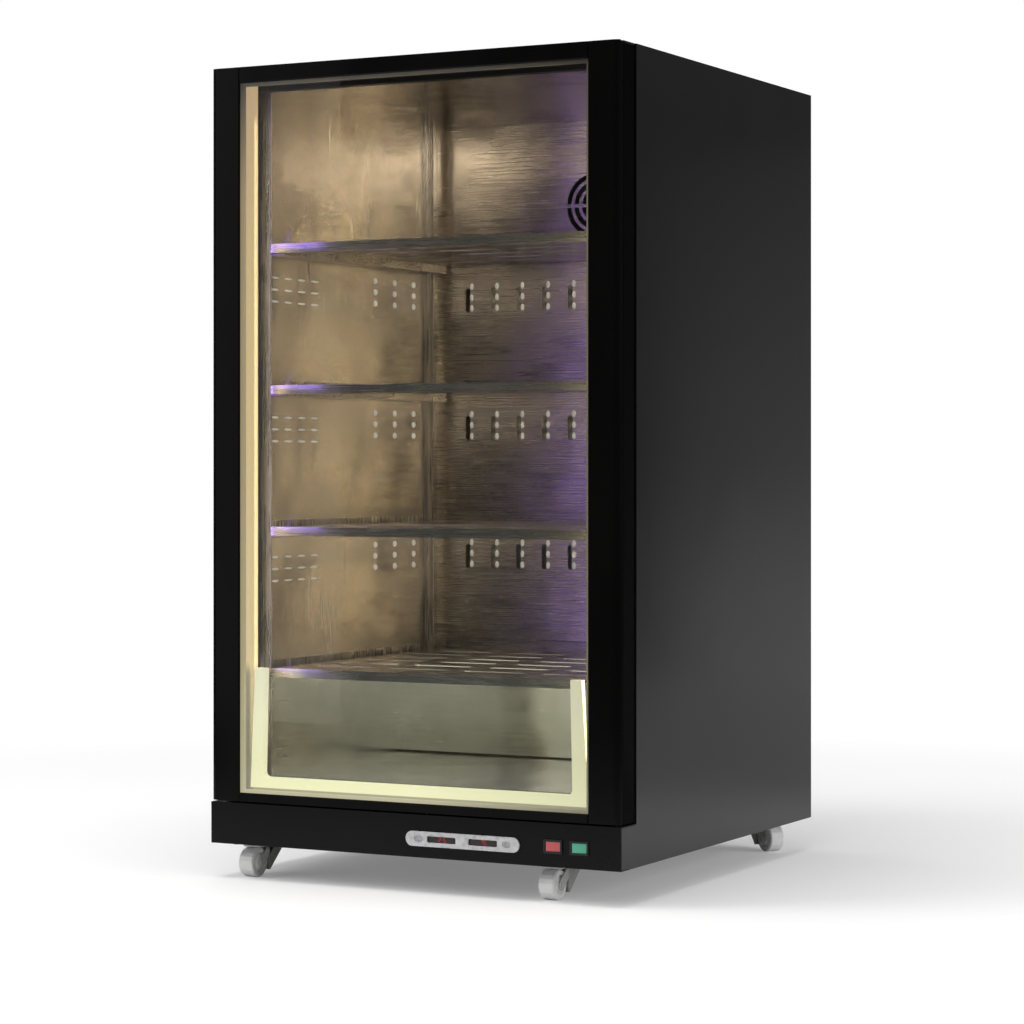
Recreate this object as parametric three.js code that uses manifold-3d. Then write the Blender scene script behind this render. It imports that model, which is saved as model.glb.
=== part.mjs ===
// Display refrigerator: black steel cabinet with a framed glass door, four shelves,
// a controller and two rocker switches in the plinth, and four casters.
// Millimetres, +Z up, the door faces -Y, origin on the floor under the middle of the cabinet.
import * as THREE from 'three';
import { mergeVertices } from 'three/addons/utils/BufferGeometryUtils.js';
import Module from 'manifold-3d';

const wasm = await Module();
wasm.setup();

// Driving sizes
const width = 600;
const depth = 626;
const bodyHeight = 1022;
const casterHeight = 46;
const plinthHeight = 54.5;
const plinthSetback = 2;
const doorGap = 2.5;
const doorThickness = 38;
const doorToCabinet = 8;
const sheet = 1.2;
const fitGap = 0.3;
const overrun = 4;
const sideWall = 38;
const topWall = 26;
const rearWall = 40;
const floorHeight = 84;
const floorWall = 28;

// Planes that the driving sizes give
const front = -depth / 2;
const rear = depth / 2;
const bottom = casterHeight;
const top = bottom + bodyHeight;
const plinthTop = bottom + plinthHeight;
const plinthFront = front + plinthSetback;
const doorBottom = plinthTop + doorGap;
const doorBack = front + doorThickness;
const cabinetFront = doorBack + doorToCabinet;
const innerHalf = width / 2 - sheet - fitGap;
const cavityHalf = width / 2 - sideWall;
const cavityFloor = bottom + floorHeight;
const cavityTop = top - topWall;
const cavityRear = rear - rearWall;

// Outlines, solids and nodes

const part = new THREE.Group();

function outline(points) {
  return new THREE.Shape(points.map(([u, v]) => new THREE.Vector2(u, v)));
}

function rectangle(u0, u1, v0, v1) {
  return outline([[u0, v0], [u1, v0], [u1, v1], [u0, v1]]);
}

// A rectangle with round corners about a centre
function rounded(u, v, across, tall, radius) {
  const halfU = across / 2 - radius;
  const halfV = tall / 2 - radius;
  const shape = new THREE.Shape();
  shape.absarc(u + halfU, v - halfV, radius, -Math.PI / 2, 0);
  shape.absarc(u + halfU, v + halfV, radius, 0, Math.PI / 2);
  shape.absarc(u - halfU, v + halfV, radius, Math.PI / 2, Math.PI);
  shape.absarc(u - halfU, v - halfV, radius, Math.PI, 1.5 * Math.PI);
  shape.closePath();
  return shape;
}

// A slot with round ends, long along u or along v
function slot(u, v, across, tall) {
  return rounded(u, v, across, tall, Math.min(across, tall) / 2);
}

// A vent hole: a slot with blunt pointed ends, long along u or along v
function vent(u, v, across, tall) {
  const end = Math.min(across, tall) / 2;
  const halfU = across / 2;
  const halfV = tall / 2;
  const points = across > tall
    ? [[halfU, 0], [halfU - end, halfV], [end - halfU, halfV], [-halfU, 0], [end - halfU, -halfV],
      [halfU - end, -halfV]]
    : [[0, halfV], [-halfU, halfV - end], [-halfU, end - halfV], [0, -halfV], [halfU, end - halfV],
      [halfU, halfV - end]];
  return outline(points.map(([du, dv]) => [u + du, v + dv]));
}

// The outline of a folded sheet: a path and its copy one thickness to the left of it
function bentSheet(path, thickness) {
  const at = (i) => new THREE.Vector2(...path[Math.min(Math.max(i, 0), path.length - 1)]);
  const left = (a, b) => {
    const run = b.clone().sub(a).normalize();
    return new THREE.Vector2(-run.y, run.x);
  };
  const copy = path.map((point, i) => {
    const here = at(i);
    const before = i > 0 ? left(at(i - 1), here) : left(here, at(i + 1));
    const after = i < path.length - 1 ? left(here, at(i + 1)) : before;
    const reach = thickness / (1 + before.dot(after));
    return [here.x + (before.x + after.x) * reach, here.y + (before.y + after.y) * reach];
  });
  return outline([...path, ...copy.reverse()]);
}

// A closed geometry as a solid for cutting and joining
function solidOf(geometry) {
  const bare = geometry.clone();
  bare.deleteAttribute('normal');
  bare.deleteAttribute('uv');
  const merged = mergeVertices(bare);
  const vertProperties = new Float32Array(merged.attributes.position.array);
  const corners = Array.from(merged.index.array);
  const build = (flip) => {
    const faces = [];
    for (let i = 0; i < corners.length; i += 3) {
      const [a, b, c] = corners.slice(i, i + 3);
      if (a !== b && b !== c && c !== a) faces.push(a, flip ? c : b, flip ? b : c);
    }
    const triVerts = new Uint32Array(faces);
    return new wasm.Manifold(new wasm.Mesh({ numProp: 3, vertProperties, triVerts }));
  };
  const solid = build(false);
  return solid.volume() > 0 ? solid : build(true);
}

function pull(shape, length, arcSteps) {
  return new THREE.ExtrudeGeometry(shape, { depth: length, bevelEnabled: false, curveSegments: arcSteps });
}

// A floor-plan outline (x, y) raised from z0 to z1
function plan(shape, z0, z1, arcSteps = 4) {
  return solidOf(pull(shape, z1 - z0, arcSteps).translate(0, 0, z0));
}

// An outline seen from the front (x, z), as deep as y0 to y1
function face(shape, y0, y1, arcSteps = 4) {
  return solidOf(pull(shape, y1 - y0, arcSteps).rotateX(Math.PI / 2).translate(0, y1, 0));
}

// An outline seen from the side (y, z), as wide as x0 to x1
function side(shape, x0, x1, arcSteps = 4) {
  const turn = new THREE.Matrix4().makeBasis(
    new THREE.Vector3(0, 1, 0), new THREE.Vector3(0, 0, 1), new THREE.Vector3(1, 0, 0));
  return solidOf(pull(shape, x1 - x0, arcSteps).applyMatrix4(turn).translate(x0, 0, 0));
}

function block([x0, y0, z0], [x1, y1, z1]) {
  const box = new THREE.BoxGeometry(x1 - x0, y1 - y0, z1 - z0);
  return solidOf(box.translate((x0 + x1) / 2, (y0 + y1) / 2, (z0 + z1) / 2));
}

// A turned piece: [radius, height] points about the z axis, from the axis to the axis or closed
function turned(profile, steps, phase = 0) {
  const points = profile.map(([r, h]) => new THREE.Vector2(r, h));
  return solidOf(new THREE.LatheGeometry(points, steps, phase).rotateX(Math.PI / 2));
}

function rod(radius, low, high, steps) {
  return turned([[0, low], [radius, low], [radius, high], [0, high]], steps);
}

function moved(solid, x, y, z) {
  return solid.translate([x, y, z]);
}

function joined(solids) {
  return solids.reduce((sum, next) => sum.add(next));
}

function finish(color, roughness, metalness, extra = {}) {
  return new THREE.MeshStandardMaterial({ color, roughness, metalness, ...extra });
}

const finishes = {
  blackSteel: () => finish(0x1b1c1e, 0.35, 0.2),
  blackGloss: () => finish(0x0c0c0e, 0.12, 0.1),
  blackPlastic: () => finish(0x141416, 0.5, 0),
  steel: () => finish(0xb4b2ab, 0.22, 1),
  zinc: () => finish(0xb6b8ba, 0.35, 0.9),
  aluminium: () => finish(0xc4c6c8, 0.3, 0.9),
  foam: () => finish(0xe8dfb4, 0.9, 0),
  rubber: () => finish(0x101011, 0.8, 0),
  glass: () => finish(0xf4faf8, 0.03, 0, { transparent: true, opacity: 0.2 }),
  smokedLens: () => finish(0x170a0c, 0.1, 0),
  warmLight: () => finish(0xffe9b0, 0.4, 0, { emissive: 0xffdf9a }),
  violetLight: () => finish(0x8a6cff, 0.3, 0, { emissive: 0x6a40ff }),
  redLens: () => finish(0xd8404a, 0.25, 0, { emissive: 0x901820 }),
  greenLens: () => finish(0x30b080, 0.25, 0, { emissive: 0x106840 }),
  silver: () => finish(0xc8c9c9, 0.28, 0.7),
  paleWheel: () => finish(0xcfcfcc, 0.5, 0),
};

function addNode(name, solid, look) {
  const found = solid.getMesh();
  const geometry = new THREE.BufferGeometry();
  geometry.setAttribute('position', new THREE.BufferAttribute(new Float32Array(found.vertProperties), 3));
  geometry.setIndex(Array.from(found.triVerts));
  geometry.computeVertexNormals();
  const mesh = new THREE.Mesh(geometry, finishes[look]());
  mesh.name = name;
  part.add(mesh);
}

// Hinge line of the door, and the plate with a rounded outline that carries each pin
const pivotInset = 14;
const pivotDepth = 23;
const pinRadius = 4;
const pinReach = 14;
const pivotX = width / 2 - pivotInset;
const pivotY = front + pivotDepth;
const hingePlate = 3;
const hingeSide = 12.2;
const hingeFront = 13;
const hingeInner = 18;
const hingeBack = 44;
const hingeCorner = 6;
const hingeSeatBack = cabinetFront + hingeBack;
function hingeLeaf(back, z0, z1) {
  const x0 = pivotX - hingeInner;
  const x1 = pivotX + hingeSide;
  const y0 = pivotY - hingeFront;
  return plan(rounded((x0 + x1) / 2, (y0 + back) / 2, x1 - x0, back - y0, hingeCorner), z0, z1);
}

// Outer sheet metal
const plinthFlange = 22;
const panelFlange = 14;
const topRecess = 3.3;
const topFlange = 12;
const frameSheet = 3;
const topSkin = top - topRecess;
const frameBack = cabinetFront + frameSheet;
const plinthLip = plinthFront + plinthFlange;
const rearSkin = rear - sheet - fitGap;
const machineSplit = 186;
const machineTop = bottom + machineSplit;

function sidePanel(sign) {
  const toeFront = plinthFront + sheet + fitGap;
  const toeLow = bottom + sheet + fitGap;
  const toeHigh = plinthTop - sheet - fitGap;
  const shape = outline([
    [rear, bottom], [rear, top], [cabinetFront, top], [cabinetFront, toeHigh], [toeFront, toeHigh],
    [toeFront, toeLow], [plinthLip + fitGap, toeLow], [plinthLip + fitGap, bottom],
  ]);
  const skin = side(shape, width / 2 - sheet, width / 2);
  const flange = block([width / 2 - sheet - panelFlange, rear - sheet, bottom], [width / 2, rear, top]);
  const panel = skin.add(flange);
  return sign > 0 ? panel : panel.mirror([1, 0, 0]);
}
addNode('left_side_panel', sidePanel(-1), 'blackSteel');
addNode('right_side_panel', sidePanel(1), 'blackSteel');

// The top skin lies a little below the side panels' edges, with a flange folded down at each end
// and a corner left open for the hinge seat
const topFront = frameBack + fitGap;
const topBack = rearSkin - sheet - fitGap;
const topPanel = side(bentSheet([
  [topBack, topSkin - topFlange], [topBack, topSkin], [topFront, topSkin], [topFront, topSkin - topFlange],
], sheet), -innerHalf, innerHalf);
const seatNotch = block([pivotX - hingeInner - fitGap, topFront - overrun, topSkin - topFlange - overrun],
  [innerHalf + overrun, hingeSeatBack + fitGap, topSkin + overrun]);
addNode('top_panel', topPanel.subtract(seatNotch), 'blackSteel');

// The rear panel has three pressed swages
const swageCount = 3;
const swageWidth = 40;
const swageRise = 1.4;
const swageSlope = 6;
const swagePitch = (2 * innerHalf) / (swageCount + 1);
function rearPanelPath() {
  const path = [[-innerHalf, rearSkin]];
  for (let i = 0; i < swageCount; i += 1) {
    const x = (i - (swageCount - 1) / 2) * swagePitch;
    path.push([x - swageWidth / 2 - swageSlope, rearSkin], [x - swageWidth / 2, rearSkin + swageRise]);
    path.push([x + swageWidth / 2, rearSkin + swageRise], [x + swageWidth / 2 + swageSlope, rearSkin]);
  }
  path.push([innerHalf, rearSkin]);
  return path.reverse();
}
addNode('rear_panel', plan(bentSheet(rearPanelPath(), sheet), machineTop + fitGap, topSkin), 'blackSteel');

// Louvred cover over the machine space, with the cut-out for the power inlet
const louvreColumns = 3;
const louvreRows = 7;
const louvreHeight = 7;
const louvrePitch = 15;
const louvreGap = 24;
const louvreInset = 112.5;
const louvreRun = 2 * (innerHalf - louvreInset);
const louvreLength = (louvreRun - (louvreColumns - 1) * louvreGap) / louvreColumns;
const louvreDepth = 7;
const louvreBase = 44;
const inletInset = 75;
const inletLift = 34;
const inletX = width / 2 - inletInset;
const inletZ = bottom + inletLift;
const inletWide = 27;
const inletTall = 20;
const inletDepth = 22;
const inletFlange = 3.5;
const coverLow = bottom + sheet + fitGap;
const coverBack = rearSkin - sheet;
function machineCover() {
  let cover = block([-innerHalf, coverBack, coverLow], [innerHalf, rearSkin, machineTop]);
  for (let column = 0; column < louvreColumns; column += 1) {
    const x = (column - (louvreColumns - 1) / 2) * (louvreLength + louvreGap);
    for (let row = 0; row < louvreRows; row += 1) {
      const z = bottom + louvreBase + row * louvrePitch;
      const hole = [[coverBack - sheet, z], [rearSkin + sheet, z], [rearSkin + sheet, z + louvreHeight],
        [coverBack - sheet, z + louvreHeight]];
      const blade = [[coverBack, z - sheet], [rearSkin, z - sheet], [rearSkin, z], [coverBack, z],
        [coverBack - louvreDepth, z + louvreHeight], [coverBack - louvreDepth, z + louvreHeight - sheet]];
      cover = cover.subtract(side(outline(hole), x - louvreLength / 2, x + louvreLength / 2));
      cover = cover.add(side(outline(blade), x - louvreLength / 2, x + louvreLength / 2));
    }
  }
  const inletHole = rectangle(inletX - inletWide / 2 - fitGap, inletX + inletWide / 2 + fitGap,
    inletZ - inletTall / 2 - fitGap, inletZ + inletTall / 2 + fitGap);
  return cover.subtract(face(inletHole, coverBack - overrun, rearSkin + overrun));
}
addNode('machine_cover', machineCover(), 'blackSteel');

// Appliance inlet: a flange outside the cover and a socket with a rim round three blades
const inletWall = 3;
const bladeWide = 2;
const bladeTall = 5;
const bladeReach = 14;
const bladePitch = 7;
const bladeDrop = 3;
function powerInlet() {
  const flangeFront = rearSkin + fitGap;
  const halfWide = inletWide / 2;
  const halfTall = inletTall / 2;
  const flange = face(rounded(inletX, inletZ, inletWide + 2 * inletFlange, inletTall + 2 * inletFlange,
    inletFlange), flangeFront, rear);
  const body = face(rectangle(inletX - halfWide, inletX + halfWide, inletZ - halfTall, inletZ + halfTall),
    rear - inletDepth, rear);
  const hollow = face(rectangle(inletX - halfWide + inletWall, inletX + halfWide - inletWall,
    inletZ - halfTall + inletWall, inletZ + halfTall - inletWall), rear - inletDepth + inletWall, rear + overrun);
  const blades = [-1, 0, 1].map((place) => {
    const z = inletZ + (place === 0 ? bladeDrop : -bladeDrop);
    const x = inletX + place * bladePitch;
    return face(rectangle(x - bladeWide / 2, x + bladeWide / 2, z - bladeTall / 2, z + bladeTall / 2),
      rear - inletDepth + sheet, rear - inletDepth + inletWall + bladeReach);
  });
  return joined([flange.add(body).subtract(hollow), ...blades]);
}
addNode('power_inlet', powerInlet(), 'blackPlastic');

// Base pan with folded edges and air slots under the machine space
const panFlange = 14;
const panSheet = 1.5;
const airSlots = 11;
const airSlotWide = 8;
const airSlotLong = 90;
const airSlotSideInset = 178.5;
const airSlotPitch = (2 * (innerHalf - airSlotSideInset)) / (airSlots - 1);
const airSlotInset = 88;
const airSlotCentre = rear - airSlotInset;
function basePan() {
  const panFront = plinthLip + fitGap;
  const panRear = coverBack - fitGap;
  let pan = side(bentSheet([
    [panFront, bottom + panFlange], [panFront, bottom], [panRear, bottom], [panRear, bottom + panFlange],
  ], panSheet), -innerHalf, innerHalf);
  for (let i = 0; i < airSlots; i += 1) {
    const x = (i - (airSlots - 1) / 2) * airSlotPitch;
    const hole = vent(x, airSlotCentre, airSlotWide, airSlotLong);
    pan = pan.subtract(plan(hole, bottom - overrun, bottom + panSheet + overrun));
  }
  return pan;
}
addNode('base_pan', basePan(), 'blackSteel');

// The controls' places in the plinth
const controlInset = 221.5;
const controlLift = 24.2;
const controlX = width / 2 - controlInset;
const controlZ = bottom + controlLift;
const controlBoxLong = 148;
const controlBoxTall = 14;
const controlBoxDepth = 26;
const bezelEndBorder = 7.75;
const bezelBorder = 2.5;
const bezelLong = controlBoxLong + 2 * bezelEndBorder;
const bezelTall = controlBoxTall + 2 * bezelBorder;
const redSwitchInset = 93.4;
const greenSwitchInset = 57;
const switchLift = 25.5;
const switchZ = bottom + switchLift;
const redSwitchX = width / 2 - redSwitchInset;
const greenSwitchX = width / 2 - greenSwitchInset;
const switchBodyWide = 22.6;
const switchBodyTall = 15;
const switchBodyDepth = 18;

// Plinth: a folded front with a flange under the door and one under the cabinet
function plinthPanel() {
  let panel = side(bentSheet([
    [cabinetFront - fitGap, plinthTop], [plinthFront, plinthTop], [plinthFront, bottom], [plinthLip, bottom],
  ], sheet), -width / 2, width / 2);
  const cut = (x, z, across, tall) => face(rectangle(x - across / 2 - fitGap, x + across / 2 + fitGap,
    z - tall / 2 - fitGap, z + tall / 2 + fitGap), plinthFront - overrun, plinthFront + overrun);
  panel = panel.subtract(cut(controlX, controlZ, controlBoxLong, controlBoxTall));
  panel = panel.subtract(cut(redSwitchX, switchZ, switchBodyWide, switchBodyTall));
  panel = panel.subtract(cut(greenSwitchX, switchZ, switchBodyWide, switchBodyTall));
  const pinHole = rod(pinRadius + fitGap, plinthTop - overrun, plinthTop + overrun, 16);
  return panel.subtract(moved(pinHole, pivotX, pivotY, 0));
}
addNode('plinth_panel', plinthPanel(), 'blackSteel');

// Insulated body: liner with a raised step over the machine space, foam round it
const linerSheet = 1;
const stepDepth = 183;
const stepHeight = 121;
const stepFront = rear - stepDepth;
const stepTop = cavityFloor + stepHeight;
function cavityOutline(grow, frontY) {
  return outline([
    [frontY, cavityFloor - grow], [stepFront + grow, cavityFloor - grow], [stepFront + grow, stepTop - grow],
    [cavityRear + grow, stepTop - grow], [cavityRear + grow, cavityTop + grow], [frontY, cavityTop + grow],
  ]);
}
const linerFront = frameBack + fitGap;
const linerShell = side(cavityOutline(linerSheet, linerFront), -cavityHalf - linerSheet, cavityHalf + linerSheet);
const linerHollow = side(cavityOutline(0, linerFront - overrun), -cavityHalf, cavityHalf);
addNode('inner_liner', linerShell.subtract(linerHollow), 'steel');

const foamRear = topBack - sheet - fitGap;
const foamTop = topSkin - sheet - fitGap;
const foamFront = topFront + sheet + fitGap;
const foamBottom = cavityFloor - floorWall;
const foamOutline = outline([
  [foamFront, foamBottom], [stepFront + floorWall, foamBottom], [stepFront + floorWall, stepTop - floorWall],
  [foamRear, stepTop - floorWall], [foamRear, foamTop], [foamFront, foamTop],
]);
const linerSpace = linerSheet + fitGap;
const foamHollow = side(cavityOutline(linerSpace, foamFront - overrun),
  -cavityHalf - linerSpace, cavityHalf + linerSpace);
addNode('insulation_foam', side(foamOutline, -innerHalf, innerHalf).subtract(foamHollow), 'foam');

// Front frame: the ring that the gasket lands on, with a collar into the liner's mouth and a
// seat for the upper hinge plate
const collarWall = 1.5;
const collarReach = 12;
const collarHalf = cavityHalf - fitGap - collarWall;
const collarLow = cavityFloor + fitGap + collarWall;
const collarHigh = cavityTop - fitGap - collarWall;
function frontFrame() {
  const plate = face(rectangle(-innerHalf, innerHalf, plinthTop, topSkin), cabinetFront, frameBack);
  const collar = face(rectangle(-collarHalf - collarWall, collarHalf + collarWall, collarLow - collarWall,
    collarHigh + collarWall), frameBack, frameBack + collarReach);
  const mouth = face(rectangle(-collarHalf, collarHalf, collarLow, collarHigh),
    cabinetFront - overrun, frameBack + collarReach + overrun);
  const seat = hingeLeaf(hingeSeatBack, topSkin - sheet, topSkin)
    .subtract(block([0, front, bottom], [width, cabinetFront, top + overrun]));
  return plate.add(collar).add(seat).subtract(mouth);
}
addNode('front_frame', frontFrame(), 'blackPlastic');

// Shelves: four levels on a common pitch
const shelfCount = 4;
const shelfFirst = 229;
const shelfTopSpace = 203;
const shelfSideGap = 19;
const shelfRearGap = 8;
const ductDepth = 37;
const ductFront = cavityRear - ductDepth;
const shelfPitch = (cavityTop - shelfTopSpace - bottom - shelfFirst) / (shelfCount - 1);
const shelfHalf = cavityHalf - shelfSideGap;
const shelfFront = frameBack + collarReach;
const shelfRear = ductFront - shelfRearGap;
const shelfLip = 12;
const shelfReturn = 9;
const shelfUpstand = 14;
const shelfSlotColumns = 4;
const shelfSlotRows = 6;
const shelfSlotWide = 12;
const shelfSlotBridge = 22;
const shelfSideMargin = 15;
const shelfEndMargin = 36;
const shelfSlotPitchX = (2 * shelfHalf - 2 * shelfSideMargin) / shelfSlotColumns;
const shelfSlotLong = shelfSlotPitchX - shelfSlotBridge;
const shelfSlotPitchY = (shelfRear - shelfFront - 2 * shelfEndMargin) / shelfSlotRows;
const shelfLevel = (i) => bottom + shelfFirst + i * shelfPitch;
function shelf(z) {
  const long = side(bentSheet([
    [shelfFront + shelfReturn, z - shelfLip], [shelfFront, z - shelfLip], [shelfFront, z],
    [shelfRear, z], [shelfRear, z + shelfUpstand],
  ].reverse(), sheet), -shelfHalf, shelfHalf);
  const cross = face(bentSheet([
    [shelfHalf, z - shelfLip], [shelfHalf, z], [-shelfHalf, z], [-shelfHalf, z - shelfLip],
  ], sheet), shelfFront, shelfRear);
  let plate = long.add(cross);
  const middle = (shelfFront + shelfRear) / 2;
  for (let row = 0; row < shelfSlotRows; row += 1) {
    const y = middle + (row - (shelfSlotRows - 1) / 2) * shelfSlotPitchY;
    for (let column = 0; column < shelfSlotColumns; column += 1) {
      const x = (column - (shelfSlotColumns - 1) / 2) * shelfSlotPitchX;
      const hole = vent(x, y, shelfSlotLong, shelfSlotWide);
      plate = plate.subtract(plan(hole, z - overrun, z + overrun));
    }
  }
  return plate;
}
for (let i = 0; i < shelfCount; i += 1) addNode(`shelf_${i + 1}`, shelf(shelfLevel(i)), 'steel');

// Shelf racks: two folded uprights and a ledge for each shelf, on each side wall
const rackSheet = 1.2;
const rackLip = 16;
const rackChannel = 18;
const rackShortLip = 6;
const rackFront = shelfFront + 5;
const rackRearInset = 32;
const rackRearUpright = shelfRear - rackRearInset;
const ledgeTipInset = 28;
const ledgeTall = 20;
const rackWall = cavityHalf - fitGap;
function rackUpright(y, lip, low) {
  const shape = bentSheet([
    [rackWall - lip, y], [rackWall, y], [rackWall, y + rackChannel], [rackWall - rackShortLip, y + rackChannel],
  ], rackSheet);
  return plan(shape, low, cavityTop - fitGap);
}
function shelfRack(sign) {
  const pieces = [
    rackUpright(rackFront, rackLip, cavityFloor + fitGap),
    rackUpright(rackRearUpright, rackShortLip, stepTop + fitGap),
  ];
  for (let i = 0; i < shelfCount; i += 1) {
    const z = shelfLevel(i) - shelfLip - fitGap;
    const shape = bentSheet([[cavityHalf - ledgeTipInset, z - rackSheet], [rackWall, z - rackSheet],
      [rackWall, z + ledgeTall]], rackSheet);
    pieces.push(face(shape, rackFront + rackChannel - rackSheet, rackRearUpright + rackChannel));
  }
  const rack = joined(pieces);
  return sign > 0 ? rack : rack.mirror([1, 0, 0]);
}
addNode('left_shelf_rack', shelfRack(-1), 'steel');
addNode('right_shelf_rack', shelfRack(1), 'steel');

// Violet lamp tube inside the left front upright
const lampRadius = 4;
const lampCapRadius = 4.6;
const lampCap = 14;
const lampSetback = 8;
const lampMargin = 8;
function lampTube() {
  const low = shelfLevel(0) + lampMargin;
  const high = cavityTop - collarWall - lampMargin;
  const profile = [
    [0, low], [lampCapRadius, low], [lampCapRadius, low + lampCap], [lampRadius, low + lampCap],
    [lampRadius, high - lampCap], [lampCapRadius, high - lampCap], [lampCapRadius, high], [0, high],
  ];
  const x = -rackWall + rackSheet + fitGap + lampCapRadius;
  return moved(turned(profile, 12), x, rackFront + lampSetback, 0);
}
addNode('violet_lamp', lampTube(), 'violetLight');

// Rear air duct: a folded cover with a ringed inlet over the fan and rows of air slots
const ductSheet = 1;
const fanDrop = 123;
const fanX = 0;
const fanZ = cavityTop - fanDrop;
const fanRingFirst = 16;
const fanRingPitch = 12;
const fanRingWide = 7;
const fanRings = 3;
const fanRingGap = 5;
const ductSlotCount = 11;
const ductSlotMargin = 52;
const ductSlotPitch = (2 * cavityHalf - 2 * ductSlotMargin) / (ductSlotCount - 1);
const ductSlotWide = 8;
const ductSlotTall = 38;
const ductSlotDrop = 52;
function ringSlot(inner, outer, start, end) {
  const shape = new THREE.Shape();
  shape.absarc(fanX, fanZ, outer, start, end, false);
  shape.absarc(fanX, fanZ, inner, end, start, true);
  shape.closePath();
  return shape;
}
function airDuct() {
  const back = cavityRear - fitGap;
  const half = cavityHalf - fitGap;
  let cover = plan(bentSheet([[half, back], [half, ductFront], [-half, ductFront], [-half, back]].reverse(),
    ductSheet), stepTop + fitGap, cavityTop - fitGap);
  const through = (shape, steps) => face(shape, ductFront - overrun, ductFront + ductSheet + overrun, steps);
  for (let ring = 0; ring < fanRings; ring += 1) {
    const inner = fanRingFirst + ring * fanRingPitch;
    const gap = fanRingGap / (inner + fanRingWide / 2);
    for (let quarter = 0; quarter < 4; quarter += 1) {
      const start = (quarter * Math.PI) / 2 + gap / 2;
      const arc = ringSlot(inner, inner + fanRingWide, start, start + Math.PI / 2 - gap);
      cover = cover.subtract(through(arc, 3));
    }
  }
  for (let level = 1; level < shelfCount; level += 1) {
    for (let i = 0; i < ductSlotCount; i += 1) {
      const x = (i - (ductSlotCount - 1) / 2) * ductSlotPitch;
      const hole = vent(x, shelfLevel(level) - ductSlotDrop, ductSlotWide, ductSlotTall);
      cover = cover.subtract(through(hole));
    }
  }
  return cover;
}
addNode('air_duct_panel', airDuct(), 'steel');

// Axial fan rotor about +z: hub with a blind bore and curved blades pitched across the airflow
function fanRotor(hubRadius, tipRadius, high, bladeCount, boreRadius, boreDepth) {
  const hub = rod(hubRadius, 0, high, 20);
  const chord = (2 * Math.PI * hubRadius) / bladeCount;
  const camber = chord / 5;
  const thick = high / 9;
  const section = new THREE.Shape();
  section.moveTo(-chord / 2, thick / 2);
  section.quadraticCurveTo(0, thick / 2 + camber, chord / 2, high - thick * 2);
  section.lineTo(chord / 2, high - thick);
  section.quadraticCurveTo(0, thick * 1.5 + camber, -chord / 2, thick * 1.5);
  section.closePath();
  const reach = tipRadius - hubRadius / 2;
  const blade = solidOf(pull(section, reach, 4).rotateX(Math.PI / 2).rotateZ(Math.PI))
    .translate([0, hubRadius / 2, 0]);
  const blades = [];
  for (let i = 0; i < bladeCount; i += 1) blades.push(blade.rotate([0, 0, (i * 360) / bladeCount]));
  const rotor = joined([hub, ...blades]).intersect(rod(tipRadius, 0, high, 40));
  return rotor.subtract(rod(boreRadius, -overrun, boreDepth, 12));
}

// Circulation fan behind the duct cover, and its motor on the liner's rear wall
const fanHub = 17;
const fanTip = 50;
const fanDeep = 17;
const fanBlades = 7;
const fanShaft = 2;
const fanClear = 4;
const motorRadius = 19;
const motorDeep = 10;
const motorArm = 62;
const motorArmWide = 12;
const shaftReach = 9;
const fanFront = ductFront + ductSheet + fanClear;
const motorBack = cavityRear - fitGap;
const motorFront = motorBack - motorDeep;
const rotorTurn = (solid) => solid.rotate([90, 0, 0]);
const fanRotorSolid = rotorTurn(fanRotor(fanHub, fanTip, fanDeep, fanBlades, fanShaft + fitGap,
  shaftReach));
addNode('circulation_fan', moved(fanRotorSolid, fanX, fanFront + fanDeep, fanZ), 'blackPlastic');

function fanMotor() {
  const gap = motorFront - fanFront - fanDeep;
  const can = turned([[0, 0], [motorRadius, 0], [motorRadius, motorDeep], [fanShaft, motorDeep],
    [fanShaft, motorDeep + gap + shaftReach - fitGap], [0, motorDeep + gap + shaftReach - fitGap]], 20);
  const arms = [0, 90].map((turn) => block([-motorArm, -motorArmWide / 2, 0],
    [motorArm, motorArmWide / 2, panSheet]).rotate([0, 0, turn]));
  return moved(rotorTurn(joined([can, ...arms])), fanX, motorBack, fanZ);
}
addNode('circulation_fan_motor', fanMotor(), 'blackPlastic');

// A comb outline: fins standing on a strip, with u along the strip and v along the fins
function comb(long, deep, finCount, finSheet, strip) {
  const pitch = (long - finSheet) / (finCount - 1);
  const points = [[long / 2, 0], [-long / 2, 0]].reverse();
  for (let i = finCount - 1; i >= 0; i -= 1) {
    const u = -long / 2 + i * pitch;
    points.push([u + finSheet, strip], [u + finSheet, deep], [u, deep], [u, strip]);
  }
  const inner = points.slice(3, -1);
  return outline([points[0], points[1], ...inner]);
}

const evaporatorInset = 97;
const evaporatorLong = 2 * (cavityHalf - evaporatorInset);
const evaporatorTall = 150;
const evaporatorLift = 60;
const evaporatorFins = 25;
const coilFinSheet = 1.4;
const coilStrip = 3;
const coilTube = 4.5;
const coilTubeReach = 9;
const evaporatorFront = ductFront + ductSheet + fanClear;
function evaporator() {
  const deep = motorBack - evaporatorFront;
  const low = stepTop + evaporatorLift;
  const fins = comb(evaporatorLong, deep, evaporatorFins, coilFinSheet, coilStrip);
  const coil = plan(fins, low, low + evaporatorTall).rotate([0, 0, 180]);
  const end = evaporatorLong / 2;
  const bends = [-1, 1].map((sign) => block([sign * end - coilTubeReach / 2, -deep + coilTube, low + coilTube],
    [sign * end + coilTubeReach / 2, -coilTube, low + evaporatorTall - coilTube]));
  return moved(joined([coil, ...bends]), 0, motorBack, 0);
}
addNode('evaporator', evaporator(), 'aluminium');

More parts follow.
